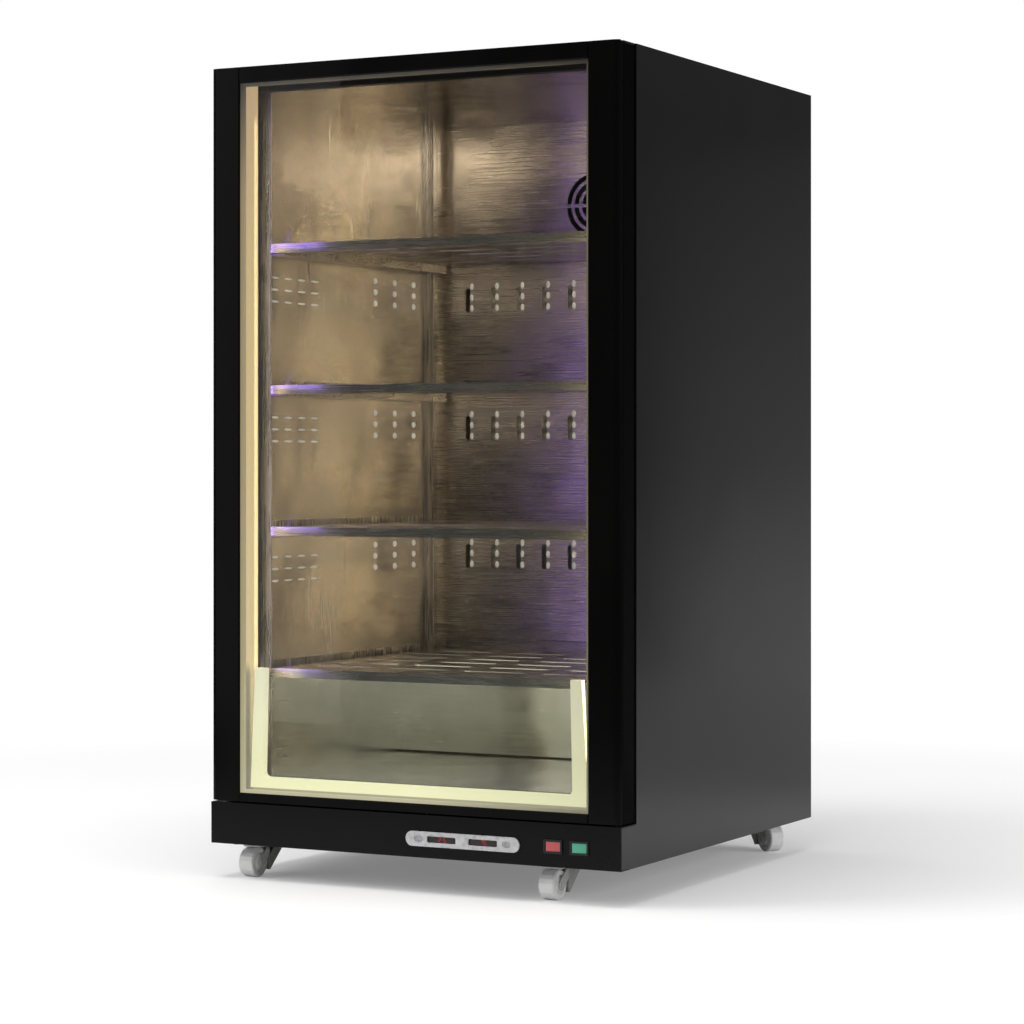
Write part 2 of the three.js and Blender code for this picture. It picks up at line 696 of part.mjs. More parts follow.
// Compressor: a domed can with a weld seam on a foot plate
const compressorInset = 125;
const compressorRearInset = 80;
const compressorX = compressorInset - width / 2;
const compressorY = rear - compressorRearInset;
const canRadius = 58;
const canSeam = 61;
const footWide = 150;
const footDeep = 128;
const footCorner = 18;
const footSheet = 3;
const footLift = 3;
const terminalWide = 40;
const terminalDeep = 18;
const terminalTall = 36;
const stubRadius = 4;
const stubReach = 20;
const canTall = 108;
function compressor() {
  const low = footLift;
  const dome = [];
  const steps = 4;
  for (let i = 0; i <= steps; i += 1) {
    const turn = (i * Math.PI) / 2 / steps;
    dome.push([canRadius * Math.cos(turn), low + canTall - canRadius * 0.55 * (1 - Math.sin(turn))]);
  }
  dome[steps][0] = 0;
  const seam = low + canTall * 0.42;
  const can = turned([[0, low], [canRadius * 0.8, low], [canRadius, low + canRadius * 0.2],
    [canRadius, seam - footSheet], [canSeam, seam - footSheet], [canSeam, seam + footSheet],
    [canRadius, seam + footSheet], ...dome], 24);
  const foot = plan(rounded(0, 0, footWide, footDeep, footCorner), 0, footSheet + footLift);
  const box = block([canRadius - footSheet * 2, -terminalWide / 2, seam + footSheet],
    [canRadius + terminalDeep, terminalWide / 2, seam + footSheet + terminalTall]);
  const stub = rod(stubRadius, 0, canRadius + stubReach, 10).rotate([0, -90, 0]);
  const stubs = [-1, 1].map((place) => moved(stub, 0, (place * canRadius) / 4, seam + terminalTall / 2));
  return moved(joined([can, foot, box, ...stubs]), compressorX, compressorY, bottom + panSheet + fitGap);
}
addNode('compressor', compressor(), 'blackSteel');

// Condenser: finned coil with a shroud plate, four struts and the fan motor
const condenserInset = 150;
const condenserRearInset = 141;
const condenserX = width / 2 - condenserInset;
const condenserLong = 44;
const condenserFins = 17;
const condenserDeep = 120;
const condenserTall = 112;
const condenserY = rear - condenserRearInset;
const shroudSheet = 1.5;
const shroudHole = 52;
const coolFanHub = 15;
const coolFanTip = 48;
const coolFanDeep = 16;
const coolFanBlades = 5;
const coolFanGap = 4;
const coolMotorRadius = 17;
const coolMotorDeep = 24;
const strutThick = 5;
const strutInset = 44;
const machineFloor = bottom + panSheet + fitGap;
const coolFanY = condenserY + condenserDeep / 2;
const coolFanZ = machineFloor + condenserTall / 2;
const shroudX = condenserX - condenserLong / 2 - shroudSheet;
const coolFanX = shroudX - coolFanGap;
const coolMotorX = coolFanX - coolFanDeep - coolFanGap;
function condenser() {
  const fins = comb(condenserDeep, condenserTall, condenserFins, coilFinSheet, coilStrip);
  const coil = moved(side(fins, -condenserLong / 2, condenserLong / 2), condenserX, coolFanY, machineFloor);
  const plate = block([shroudX, condenserY, machineFloor],
    [shroudX + shroudSheet + sheet, condenserY + condenserDeep, machineFloor + condenserTall]);
  const hole = rod(shroudHole, -overrun, overrun, 24).rotate([0, 90, 0]);
  const ring = plate.subtract(moved(hole, shroudX, coolFanY, coolFanZ));
  const motor = turned([[0, 0], [coolMotorRadius, 0], [coolMotorRadius, coolMotorDeep],
    [fanShaft, coolMotorDeep], [fanShaft, coolMotorDeep + coolFanGap + shaftReach - fitGap],
    [0, coolMotorDeep + coolFanGap + shaftReach - fitGap]], 16).rotate([0, 90, 0]);
  const motorBackX = coolMotorX - coolMotorDeep;
  const pieces = [coil, ring, moved(motor, motorBackX, coolFanY, coolFanZ)];
  for (const placeY of [-1, 1]) {
    for (const placeZ of [-1, 1]) {
      const y = coolFanY + placeY * strutInset;
      const z = coolFanZ + placeZ * strutInset;
      pieces.push(block([motorBackX, y - strutThick / 2, z - strutThick / 2],
        [shroudX + shroudSheet, y + strutThick / 2, z + strutThick / 2]));
    }
  }
  const arm = Math.SQRT2 * strutInset;
  for (const turn of [45, -45]) {
    const bar = block([0, -arm, -strutThick / 2], [strutThick, arm, strutThick / 2]).rotate([turn, 0, 0]);
    pieces.push(moved(bar, motorBackX, coolFanY, coolFanZ));
  }
  return joined(pieces);
}
addNode('condenser', condenser(), 'aluminium');
const coolRotor = fanRotor(coolFanHub, coolFanTip, coolFanDeep, coolFanBlades, fanShaft + fitGap,
  shaftReach).rotate([0, 90, 0]);
addNode('condenser_fan', moved(coolRotor, coolFanX - coolFanDeep, coolFanY, coolFanZ), 'blackPlastic');

// Drip tray on the pan between the compressor and the inlet side
const trayInset = 64;
const trayRearInset = 99;
const trayX = width / 2 - trayInset;
const trayY = rear - trayRearInset;
const trayWide = 70;
const trayDeep = 150;
const trayTall = 12;
const trayWall = 1.5;
function dripTray() {
  const shell = plan(rounded(trayX, trayY, trayWide, trayDeep, 4 * trayWall), machineFloor,
    machineFloor + trayTall);
  const hollow = plan(rounded(trayX, trayY, trayWide - 2 * trayWall, trayDeep - 2 * trayWall, 3 * trayWall),
    machineFloor + trayWall, machineFloor + trayTall + overrun);
  return shell.subtract(hollow);
}
addNode('drip_tray', dripTray(), 'blackPlastic');

// Door frame: two full-height stiles and two rails with a groove for the glass
const stileWide = 45;
const topRail = 21.5;
const bottomRail = 11.5;
const edgeRadius = 10;
const lipChamfer = 1.5;
const glassCover = 8;
const glassSetback = 3;
const paneThick = 3;
const paneGap = 6;
const glassFront = front + glassSetback;
const glassBack = glassFront + 2 * paneThick + paneGap;
const grooveFront = glassFront - fitGap;
const grooveBack = glassBack + fitGap;
const viewHalf = width / 2 - stileWide;
const viewLow = doorBottom + bottomRail;
const viewHigh = top - topRail;
const hingeStileTop = top - hingePlate - fitGap;
const pocketSide = 21;
const pocketFront = 18.5;

function stileShape() {
  const shape = new THREE.Shape();
  shape.moveTo(viewHalf + lipChamfer, front);
  shape.lineTo(width / 2 - edgeRadius, front);
  shape.absarc(width / 2 - edgeRadius, front + edgeRadius, edgeRadius, -Math.PI / 2, 0);
  shape.lineTo(width / 2, doorBack);
  shape.lineTo(viewHalf, doorBack);
  shape.lineTo(viewHalf, grooveBack);
  shape.lineTo(viewHalf + glassCover, grooveBack);
  shape.lineTo(viewHalf + glassCover, grooveFront);
  shape.lineTo(viewHalf, grooveFront);
  shape.lineTo(viewHalf, front + lipChamfer);
  shape.closePath();
  return shape;
}

// The right stile is bored for the hinge pins, with a pocket in its top end that the upper hinge
// plate sweeps as the door swings; the left one has a finger recess in its outer edge
const pullWide = 16;
const pullLong = 340;
const pullDeep = 14;
const pullBack = 6;
function rightStile() {
  const bore = rod(pinRadius + fitGap, -pinReach - fitGap, pinReach + fitGap, 16);
  const pocket = block([pivotX - pocketSide, pivotY - pocketFront, hingeStileTop],
    [width / 2 + overrun, doorBack + overrun, top + overrun]);
  return plan(stileShape(), doorBottom, top, 6)
    .subtract(moved(bore, pivotX, pivotY, doorBottom))
    .subtract(moved(bore, pivotX, pivotY, hingeStileTop))
    .subtract(pocket);
}
function leftStile() {
  const pullY = doorBack - pullBack - pullWide / 2;
  const pullZ = (doorBottom + top) / 2;
  const recess = side(slot(pullY, pullZ, pullWide, pullLong), width / 2 - pullDeep, width / 2 + overrun);
  return plan(stileShape(), doorBottom, top, 6).subtract(recess).mirror([1, 0, 0]);
}
addNode('left_stile', leftStile(), 'blackGloss');
addNode('right_stile', rightStile(), 'blackGloss');

function railShape(outer, inner, inward) {
  return outline([
    [front, outer], [doorBack, outer], [doorBack, inner], [grooveBack, inner],
    [grooveBack, inner - inward * glassCover], [grooveFront, inner - inward * glassCover], [grooveFront, inner],
    [front + lipChamfer, inner], [front, inner - inward * lipChamfer],
  ]);
}
const railHalf = viewHalf - fitGap;
addNode('top_rail', side(railShape(top, viewHigh, -1), -railHalf, railHalf), 'blackGloss');
addNode('bottom_rail', side(railShape(doorBottom, viewLow, 1), -railHalf, railHalf), 'blackGloss');

// Two panes with a spacer ring between them
const paneHalf = viewHalf + glassCover - fitGap;
const paneLow = viewLow - glassCover + fitGap;
const paneHigh = viewHigh + glassCover - fitGap;
const paneShape = rectangle(-paneHalf, paneHalf, paneLow, paneHigh);
addNode('outer_pane', face(paneShape, glassFront, glassFront + paneThick), 'glass');
addNode('inner_pane', face(paneShape, glassBack - paneThick, glassBack), 'glass');
const spacerShow = 4;
const spacerInset = 2;
const spacerOuter = rectangle(-paneHalf + spacerInset, paneHalf - spacerInset, paneLow + spacerInset,
  paneHigh - spacerInset);
const spacerInner = rectangle(-viewHalf + spacerShow, viewHalf - spacerShow, viewLow + spacerShow,
  viewHigh - spacerShow);
const spacerFront = glassFront + paneThick + fitGap;
const spacerBack = glassBack - paneThick - fitGap;
addNode('glass_spacer', face(spacerOuter, spacerFront, spacerBack)
  .subtract(face(spacerInner, spacerFront - overrun, spacerBack + overrun)), 'aluminium');

// Light bars behind the glass: one on each stile, and a U at the bottom between them
const barThick = 7.5;
const barDeep = 22;
const barRound = 2;
const lightFront = glassBack + fitGap;
const uHeight = 163.5;
const uWide = 18;
const uFootLift = 6.5;
const uFootTall = 14;
const uDeep = 12;
const uRadius = 7;
const uSideGap = 2;
const uOuterLean = 7;
const uInnerLean = 3;
const uFlange = 1.5;
const barLow = viewLow + fitGap;
const barHigh = viewHigh - fitGap;
function lightBar(sign) {
  const outer = viewHalf - fitGap;
  const shape = rounded(outer - barThick / 2, lightFront + barDeep / 2, barThick, barDeep, barRound);
  const bar = plan(shape, barLow, barHigh, 2);
  return sign > 0 ? bar : bar.mirror([1, 0, 0]);
}
addNode('light_bar_left', lightBar(-1), 'warmLight');
addNode('light_bar_right', lightBar(1), 'warmLight');

// The U: a lit foot between two short legs that lean inward, and a set-back flange down to the rail
function lowerLight() {
  const outer = viewHalf - barThick - uSideGap;
  const inner = outer - uWide;
  const low = viewLow + uFootLift;
  const foot = low + uFootTall;
  const high = viewLow + uHeight;
  const shape = new THREE.Shape();
  shape.moveTo(-outer, low);
  shape.lineTo(outer, low);
  shape.lineTo(outer - uOuterLean, high);
  shape.lineTo(inner - uInnerLean, high);
  shape.lineTo(inner, foot + uRadius);
  shape.absarc(inner - uRadius, foot + uRadius, uRadius, 0, -Math.PI / 2, true);
  shape.absarc(uRadius - inner, foot + uRadius, uRadius, -Math.PI / 2, -Math.PI, true);
  shape.lineTo(uInnerLean - inner, high);
  shape.lineTo(uOuterLean - outer, high);
  shape.closePath();
  const flangeFront = lightFront + uDeep / 2;
  return face(shape, lightFront, lightFront + uDeep, 3)
    .add(face(rectangle(-outer, outer, viewLow + fitGap, foot), flangeFront, flangeFront + uFlange));
}
addNode('lower_light_frame', lowerLight(), 'warmLight');

// Magnetic gasket round the back of the door, with a fold groove along its sides
const gasketInset = 16;
const gasketWide = 14;
const gasketBottomInset = 7;
const gasketFold = 2.5;
function gasket() {
  const y0 = doorBack + fitGap;
  const y1 = cabinetFront - fitGap;
  const half = width / 2 - gasketInset;
  const low = doorBottom + gasketBottomInset;
  const high = top - gasketBottomInset;
  const ring = (grow, from, to) => face(rectangle(-half + grow, half - grow, low + grow, high - grow), from, to);
  const middle = (y0 + y1) / 2;
  const foldFrom = middle - gasketFold / 2;
  const foldTo = middle + gasketFold / 2;
  const outer = joined([ring(0, y0, foldFrom), ring(gasketFold, foldFrom, foldTo), ring(0, foldTo, y1)]);
  return outer.subtract(ring(gasketWide, y0 - overrun, y1 + overrun));
}
addNode('door_gasket', gasket(), 'rubber');

// Hinges: a plate and a pin at the top, and the same under the plinth's flange
const hingeLow = plinthTop - sheet - fitGap - hingePlate;
const topPin = rod(pinRadius, hingeStileTop - pinReach, top - hingePlate / 2, 16);
addNode('upper_hinge', hingeLeaf(hingeSeatBack, top - hingePlate, top)
  .add(moved(topPin, pivotX, pivotY, 0)), 'blackSteel');
const lowPin = rod(pinRadius, hingeLow + hingePlate / 2, doorBottom + pinReach, 16);
addNode('lower_hinge', hingeLeaf(cabinetFront - sheet, hingeLow, hingeLow + hingePlate)
  .add(moved(lowPin, pivotX, pivotY, 0)), 'zinc');

// Controller: a silver bezel moulded in one with its box, a smoked lens and two keys
const keyLong = 12;
const keyInset = 11;
const keyOffset = controlBoxLong / 2 - keyInset;
const windowInset = 12.8;
const windowBridge = 18.4;
const windowTall = 8;
const windowLong = keyOffset - windowInset - windowBridge / 2;
const windowOffset = (windowBridge + windowLong) / 2;
const keyTall = 7;
const keyProud = 0.3;
const keyFlange = 1;
const keyDeep = 4.5;
const boxWall = 1.5;
const lensHalf = windowOffset + windowLong / 2 + boxWall;
const lensTall = 10.4;
const lensThick = 2;
const bezelBack = plinthFront - fitGap;
function controlBezel() {
  const flange = face(slot(controlX, controlZ, bezelLong, bezelTall), front, bezelBack, 6);
  const wide = controlBoxLong / 2;
  const tall = controlBoxTall / 2;
  const box = face(rectangle(controlX - wide, controlX + wide, controlZ - tall, controlZ + tall),
    front + boxWall / 2, bezelBack + controlBoxDepth);
  const hollow = face(rectangle(controlX - wide + boxWall, controlX + wide - boxWall,
    controlZ - tall + boxWall, controlZ + tall - boxWall), bezelBack, bezelBack + controlBoxDepth + overrun);
  let bezel = flange.add(box).subtract(hollow);
  for (const place of [-1, 1]) {
    bezel = bezel.subtract(face(rounded(controlX + place * windowOffset, controlZ, windowLong, windowTall,
      boxWall), front - overrun, bezelBack + sheet, 2));
    bezel = bezel.subtract(face(slot(controlX + place * keyOffset, controlZ, keyLong + 2 * fitGap,
      keyTall + 2 * fitGap), front - overrun, bezelBack + sheet));
  }
  return bezel;
}
addNode('control_bezel', controlBezel(), 'silver');
addNode('display_lens', face(rectangle(controlX - lensHalf, controlX + lensHalf, controlZ - lensTall / 2,
  controlZ + lensTall / 2), bezelBack + fitGap, bezelBack + fitGap + lensThick), 'smokedLens');
function controlKey(place) {
  const x = controlX + place * keyOffset;
  const cap = face(slot(x, controlZ, keyLong, keyTall), front + keyProud, bezelBack + keyDeep);
  const stop = face(slot(x, controlZ, keyLong + 2 * keyFlange, keyTall + 2 * keyFlange), bezelBack + fitGap,
    bezelBack + fitGap + keyFlange);
  return cap.add(stop);
}
addNode('left_key', controlKey(-1), 'silver');
addNode('right_key', controlKey(1), 'silver');

// Rocker switches: a flanged housing with a pocket, and a rocker on two trunnions
const switchFlangeWide = 26;
const switchFlangeTall = 17.4;
const pocketWide = 20.7;
const pocketTall = 12.2;
const pocketDeep = 13;
const rockerRadius = 10;
const rockerFrontReach = 2.3;
const rockerBackReach = 5;
const rockerTilt = 8;
const trunnionRadius = 1.2;
const trunnionReach = 0.8;
const rockerPivotY = front + rockerFrontReach + 1.5;
const rockerHalf = pocketTall / 2 - fitGap;
function switchHousing(x) {
  const flange = face(rounded(x, switchZ, switchFlangeWide, switchFlangeTall, boxWall), front, bezelBack, 2);
  const body = face(rectangle(x - switchBodyWide / 2, x + switchBodyWide / 2, switchZ - switchBodyTall / 2,
    switchZ + switchBodyTall / 2), front + boxWall / 2, front + switchBodyDepth);
  const pocket = face(rectangle(x - pocketWide / 2, x + pocketWide / 2, switchZ - pocketTall / 2,
    switchZ + pocketTall / 2), front - overrun, front + pocketDeep);
  const trunnionHole = rod(trunnionRadius + fitGap, -rockerHalf - trunnionReach - 2 * fitGap,
    rockerHalf + trunnionReach + 2 * fitGap, 10);
  return flange.add(body).subtract(pocket).subtract(moved(trunnionHole, x, rockerPivotY, switchZ));
}
function rocker(x) {
  const barrel = rod(rockerRadius, -rockerHalf, rockerHalf, 40);
  const keep = block([-rockerRadius, -rockerFrontReach, -rockerHalf],
    [rockerRadius, rockerBackReach, rockerHalf]);
  const trunnion = rod(trunnionRadius, -rockerHalf - trunnionReach, rockerHalf + trunnionReach, 10);
  const body = barrel.intersect(keep).add(trunnion).rotate([0, 0, rockerTilt]);
  return moved(body, x, rockerPivotY, switchZ);
}
addNode('red_switch_housing', switchHousing(redSwitchX), 'blackPlastic');
addNode('green_switch_housing', switchHousing(greenSwitchX), 'blackPlastic');
addNode('red_rocker', rocker(redSwitchX), 'redLens');
addNode('green_rocker', rocker(greenSwitchX), 'greenLens');

// Casters: a plate with a race and kingpin, a swivelling fork with its axle, and a wheel
const wheelRadius = 19;
const wheelWide = 22;
const wheelHub = 23.4;
const wheelSteps = 20;
const wheelDish = 3;
const wheelRim = 13;
const wheelBoss = 7;
const treadRound = 1.6;
const axleRadius = 2.6;
const axleHead = 4.6;
const axleHeadThick = 1.4;
const casterPlate = 58;
const plateCorner = 7;
const plateSheet = 2.5;
const raceRadius = 18;
const raceDeep = 2;
const crownSheet = 2;
const kingpinRadius = 4;
const kingpinHead = 6.5;
const kingpinHeadThick = 1.2;
const trail = 14;
const forkSheet = 2;
const forkHalf = 12;
const crownFront = 17;
const crownBack = 18;
const forkFoot = 7;
const armWide = 17;
const plateTop = bottom - fitGap;
const plateLow = plateTop - plateSheet;
const crownTop = plateLow - raceDeep - fitGap;
const crownLow = crownTop - crownSheet;

function casterTop() {
  const plate = plan(rounded(0, 0, casterPlate, casterPlate, plateCorner), plateLow, plateTop, 2);
  const race = turned([[0, plateLow + sheet], [raceRadius + raceDeep, plateLow + sheet],
    [raceRadius + raceDeep, plateLow], [raceRadius, plateLow - raceDeep], [0, plateLow - raceDeep]], 16);
  const pin = turned([[0, crownLow - fitGap - kingpinHeadThick],
    [kingpinHead - kingpinHeadThick, crownLow - fitGap - kingpinHeadThick], [kingpinHead, crownLow - fitGap],
    [kingpinRadius, crownLow - fitGap], [kingpinRadius, plateLow], [0, plateLow]], 10);
  return joined([plate, race, pin]);
}

// The fork trails towards -y, with two narrow arms that slope from the back of the crown to the axle
function casterFork() {
  const crown = plan(rounded(0, (crownBack - crownFront) / 2, 2 * (forkHalf + forkSheet), crownFront + crownBack,
    forkSheet), crownLow, crownTop, 2);
  const armShape = new THREE.Shape();
  armShape.moveTo(crownBack - armWide, crownTop);
  armShape.lineTo(crownBack - armWide, crownLow);
  armShape.absarc(-trail, wheelRadius, forkFoot, 0.72 * Math.PI, 1.8 * Math.PI);
  armShape.lineTo(crownBack, crownLow);
  armShape.lineTo(crownBack, crownTop);
  armShape.closePath();
  const arms = [-1, 1].map((sign) => {
    const near = sign * forkHalf;
    const far = sign * (forkHalf + forkSheet);
    return side(armShape, Math.min(near, far), Math.max(near, far), 4);
  });
  const reach = forkHalf + forkSheet;
  const axle = turned([[0, -reach - axleHeadThick], [axleHead, -reach - axleHeadThick], [axleHead, -reach],
    [axleRadius, -reach], [axleRadius, reach], [axleHead, reach], [axleHead, reach + axleHeadThick],
    [0, reach + axleHeadThick]], 10).rotate([0, 90, 0]);
  const pinHole = rod(kingpinRadius + 2 * fitGap, crownLow - overrun, crownTop + overrun, 10);
  return joined([crown, ...arms, moved(axle, 0, -trail, wheelRadius)]).subtract(pinHole);
}

// The tread's flats touch the floor, so its corners lie a little further out than its radius
function casterWheel() {
  const tread = wheelRadius / Math.cos(Math.PI / wheelSteps);
  const half = wheelWide / 2;
  const bore = axleRadius + fitGap;
  const wheel = turned([
    [bore, -wheelHub / 2], [wheelBoss, -wheelHub / 2], [wheelRim - treadRound, -half + wheelDish],
    [wheelRim, -half], [tread - treadRound, -half], [tread, -half + treadRound],
    [tread, half - treadRound], [tread - treadRound, half], [wheelRim, half],
    [wheelRim - treadRound, half - wheelDish], [wheelBoss, wheelHub / 2], [bore, wheelHub / 2],
    [bore, -wheelHub / 2],
  ], wheelSteps, Math.PI / wheelSteps).rotate([0, 90, 0]);
  return moved(wheel, 0, -trail, wheelRadius);
}

// Where each caster stands and how far it has swivelled, in degrees
const casterInsetX = 43;
const casterInsetY = 51;
const frontRightInset = 112;
const rearInsetX = 57;
const rearInsetY = 31;
const casterPlaces = [
  ['front_left', -width / 2 + casterInsetX, front + casterInsetY, 0],
  ['front_right', width / 2 - frontRightInset, front + casterInsetY, 0],
  ['rear_right', width / 2 - rearInsetX, rear - rearInsetY, 55],
  ['rear_left', -width / 2 + rearInsetX, rear - rearInsetY, -40],
];
for (const [name, x, y, turn] of casterPlaces) {
  addNode(`${name}_caster_plate`, moved(casterTop(), x, y, 0), 'zinc');
  addNode(`${name}_caster_fork`, moved(casterFork().rotate([0, 0, turn]), x, y, 0), 'zinc');
  addNode(`${name}_caster_wheel`, moved(casterWheel().rotate([0, 0, turn]), x, y, 0), 'paleWheel');
}

export default part;
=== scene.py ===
import math

import bmesh
import bpy
from mathutils import Matrix, Vector


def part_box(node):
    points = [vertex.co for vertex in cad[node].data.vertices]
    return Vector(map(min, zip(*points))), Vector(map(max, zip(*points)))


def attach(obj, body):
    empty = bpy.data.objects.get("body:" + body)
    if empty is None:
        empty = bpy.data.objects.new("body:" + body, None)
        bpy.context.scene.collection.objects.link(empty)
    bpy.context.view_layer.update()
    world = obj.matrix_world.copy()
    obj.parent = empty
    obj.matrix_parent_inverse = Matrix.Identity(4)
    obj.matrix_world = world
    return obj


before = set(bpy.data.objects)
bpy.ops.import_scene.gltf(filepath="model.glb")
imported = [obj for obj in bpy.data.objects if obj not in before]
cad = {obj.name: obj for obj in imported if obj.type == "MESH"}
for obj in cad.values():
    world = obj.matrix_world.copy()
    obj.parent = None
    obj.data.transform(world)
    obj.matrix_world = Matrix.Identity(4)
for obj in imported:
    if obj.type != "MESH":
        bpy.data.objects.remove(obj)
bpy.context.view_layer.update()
MM = 0.001

# Camera, level, on the photograph's line of sight, with the horizon above the picture's middle
CAMERA_PLACE = (1.8378, -3.5325, 0.5495)
CAMERA_AZIMUTH = 27.667
CAMERA_LENS = 102.26
SENSOR_WIDTH = 36
HORIZON_SHIFT = -0.0492

camera_data = bpy.data.cameras.new("camera")
camera_data.sensor_width = SENSOR_WIDTH
camera_data.lens = CAMERA_LENS
camera_data.shift_y = HORIZON_SHIFT
camera = bpy.data.objects.new("camera", camera_data)
camera.location = CAMERA_PLACE
camera.rotation_euler = (math.radians(90), 0, math.radians(CAMERA_AZIMUTH))
bpy.context.collection.objects.link(camera)
bpy.context.scene.camera = camera


# Finishes

def scaled(color, factor):
    """A colour made darker or lighter, and never brighter than full."""
    return tuple(min(1.0, part * factor) for part in color)


class Finish:
    """A material with one Principled shader, and the textures that feed it."""

    def __init__(self, name, color, roughness, metallic=0.0, **sockets):
        self.material = bpy.data.materials.new(name)
        self.material.use_nodes = True
        self.tree = self.material.node_tree
        self.shader = self.tree.nodes["Principled BSDF"]
        self.shader.inputs["Base Color"].default_value = (*color, 1)
        self.shader.inputs["Roughness"].default_value = roughness
        self.shader.inputs["Metallic"].default_value = metallic
        for socket, value in sockets.items():
            self.shader.inputs[socket.replace("_", " ")].default_value = value
        self.place = self.node("ShaderNodeTexCoord").outputs["Object"]

    def node(self, kind, **settings):
        made = self.tree.nodes.new(kind)
        for key, value in settings.items():
            setattr(made, key, value)
        return made

    def feed(self, source, target):
        self.tree.links.new(source, target)

    def noise(self, scale, detail, stretch=(1, 1, 1), distortion=0.0):
        """Soft clouds, drawn out into lines along an axis whose stretch is small."""
        mapping = self.node("ShaderNodeMapping")
        mapping.inputs["Scale"].default_value = stretch
        self.feed(self.place, mapping.inputs["Vector"])
        texture = self.node("ShaderNodeTexNoise")
        texture.inputs["Scale"].default_value = scale
        texture.inputs["Detail"].default_value = detail
        texture.inputs["Distortion"].default_value = distortion
        self.feed(mapping.outputs["Vector"], texture.inputs["Vector"])
        return texture.outputs["Fac"]

    def cells(self, scale):
        """Small round cells, low at their middles."""
        texture = self.node("ShaderNodeTexVoronoi")
        texture.inputs["Scale"].default_value = scale
        self.feed(self.place, texture.inputs["Vector"])
        return texture.outputs["Distance"]

    def along(self, axis):
        """The place on one axis, in metres."""
        split = self.node("ShaderNodeSeparateXYZ")
        self.feed(self.place, split.inputs["Vector"])
        return split.outputs[axis]

    def spread(self, source, low, high, start=0.3, end=0.7):
        """Low to high as the source goes from start to end."""
        ranged = self.node("ShaderNodeMapRange")
        ranged.inputs["From Min"].default_value = start
        ranged.inputs["From Max"].default_value = end
        ranged.inputs["To Min"].default_value = low
        ranged.inputs["To Max"].default_value = high
        self.feed(source, ranged.inputs["Value"])
        return ranged.outputs["Result"]

    def rise(self, source, start, end):
        """Nought to one as the source goes from start to end."""
        return self.spread(source, 0.0, 1.0, start, end)

    def times(self, first, second):
        product = self.node("ShaderNodeMath", operation="MULTIPLY")
        self.feed(first, product.inputs[0])
        self.feed(second, product.inputs[1])
        return product.outputs["Value"]

    def blended(self, factor, first, second, kind="FLOAT"):
        """The first value or colour, going over to the second as the factor goes to one."""
        mix = self.node("ShaderNodeMix", data_type=kind)
        sockets = {socket.name: socket for socket in mix.inputs if socket.enabled}
        self.feed(factor, sockets["Factor"])
        self.feed(first, sockets["A"])
        self.feed(second, sockets["B"])
        return next(socket for socket in mix.outputs if socket.enabled)

    def tones(self, source, stops):
        """The colours of the stops, each a place on the source's range with its colour."""
        ramp = self.node("ShaderNodeValToRGB")
        elements = ramp.color_ramp.elements
        while len(elements) < len(stops):
            elements.new(0.5)
        for element, (position, color) in zip(elements, stops):
            element.position = position
            element.color = (*color, 1)
        self.feed(source, ramp.inputs["Fac"])
        return ramp.outputs["Color"]

    def shades(self, source, color, first, last, start=0.3, end=0.7):
        """The colour times the first factor, going over to the last as the source rises."""
        return self.tones(source, [(start, scaled(color, first)), (end, scaled(color, last))])

    def by_height(self, stops, factor=1.0):
        """Colours that follow the height, each given with its height, and times the factor."""
        low, high = stops[0][0], stops[-1][0]
        return self.tones(self.rise(self.along("Z"), low, high),
                          [((z - low) / (high - low), scaled(color, factor)) for z, color in stops])

    def color(self, source):
        self.feed(source, self.shader.inputs["Base Color"])

    def rough(self, source):
        self.feed(source, self.shader.inputs["Roughness"])

    def relief(self, source, depth, strength=1.0):
        """Bumps of the given depth, over those that are there already."""
        bump = self.node("ShaderNodeBump")
        bump.inputs["Distance"].default_value = depth
        bump.inputs["Strength"].default_value = strength
        self.feed(source, bump.inputs["Height"])
        normal = self.shader.inputs["Normal"]
        if normal.is_linked:
            self.feed(normal.links[0].from_socket, bump.inputs["Normal"])
        self.feed(bump.outputs["Normal"], normal)
        return self


# Stretches that draw the fine lines of rolled metal one way
UPRIGHT_LINES = (1, 1, 0.02)
CROSSWISE_LINES = (0.02, 1, 1)
LEVEL_LINES = (0.02, 0.02, 1)
FIN_LINES = (1, 1, 0.05)
# How much the clouds of polish darken and lighten a rolled metal
POLISH = (0.86, 1.08)


def powder_coat(name, color, roughness, sheen_level=0.5):
    """Baked black coat with orange peel and faint wiped patches."""
    coat = Finish(name, color, roughness, Specular_IOR_Level=sheen_level)
    patches = coat.noise(scale=5, detail=4, distortion=0.6)
    coat.color(coat.shades(patches, color, 0.85, 1.25))
    coat.rough(coat.spread(patches, roughness - 0.03, roughness + 0.05))
    orange_peel = coat.noise(scale=650, detail=1)
    return coat.relief(orange_peel, depth=0.05 * MM, strength=0.35).material


def gloss_black(name, color, roughness, sheen_level=0.5, matt_edge=None):
    """Polished black with a slight waviness and wipe marks, matt past the given distance."""
    gloss = Finish(name, color, roughness, Specular_IOR_Level=sheen_level)
    wipes = gloss.noise(scale=9, detail=5, stretch=(1, 1, 0.3), distortion=0.8)
    tone = gloss.shades(wipes, color, 1.0, 1.4, start=0.35)
    rough = gloss.spread(wipes, roughness, roughness + 0.08)
    if matt_edge:
        outwards = gloss.node("ShaderNodeMath", operation="ABSOLUTE")
        gloss.feed(gloss.along("X"), outwards.inputs[0])
        matt = gloss.rise(outwards.outputs[0], matt_edge, matt_edge + 0.3 * MM)
        tone = gloss.blended(matt, tone, gloss.shades(wipes, color, 0.05, 0.1), "RGBA")
        rough = gloss.blended(matt, rough, gloss.spread(wipes, 0.7, 0.85))
    gloss.color(tone)
    gloss.rough(rough)
    waviness = gloss.noise(scale=14, detail=1)
    return gloss.relief(waviness, depth=0.15 * MM, strength=0.2).material


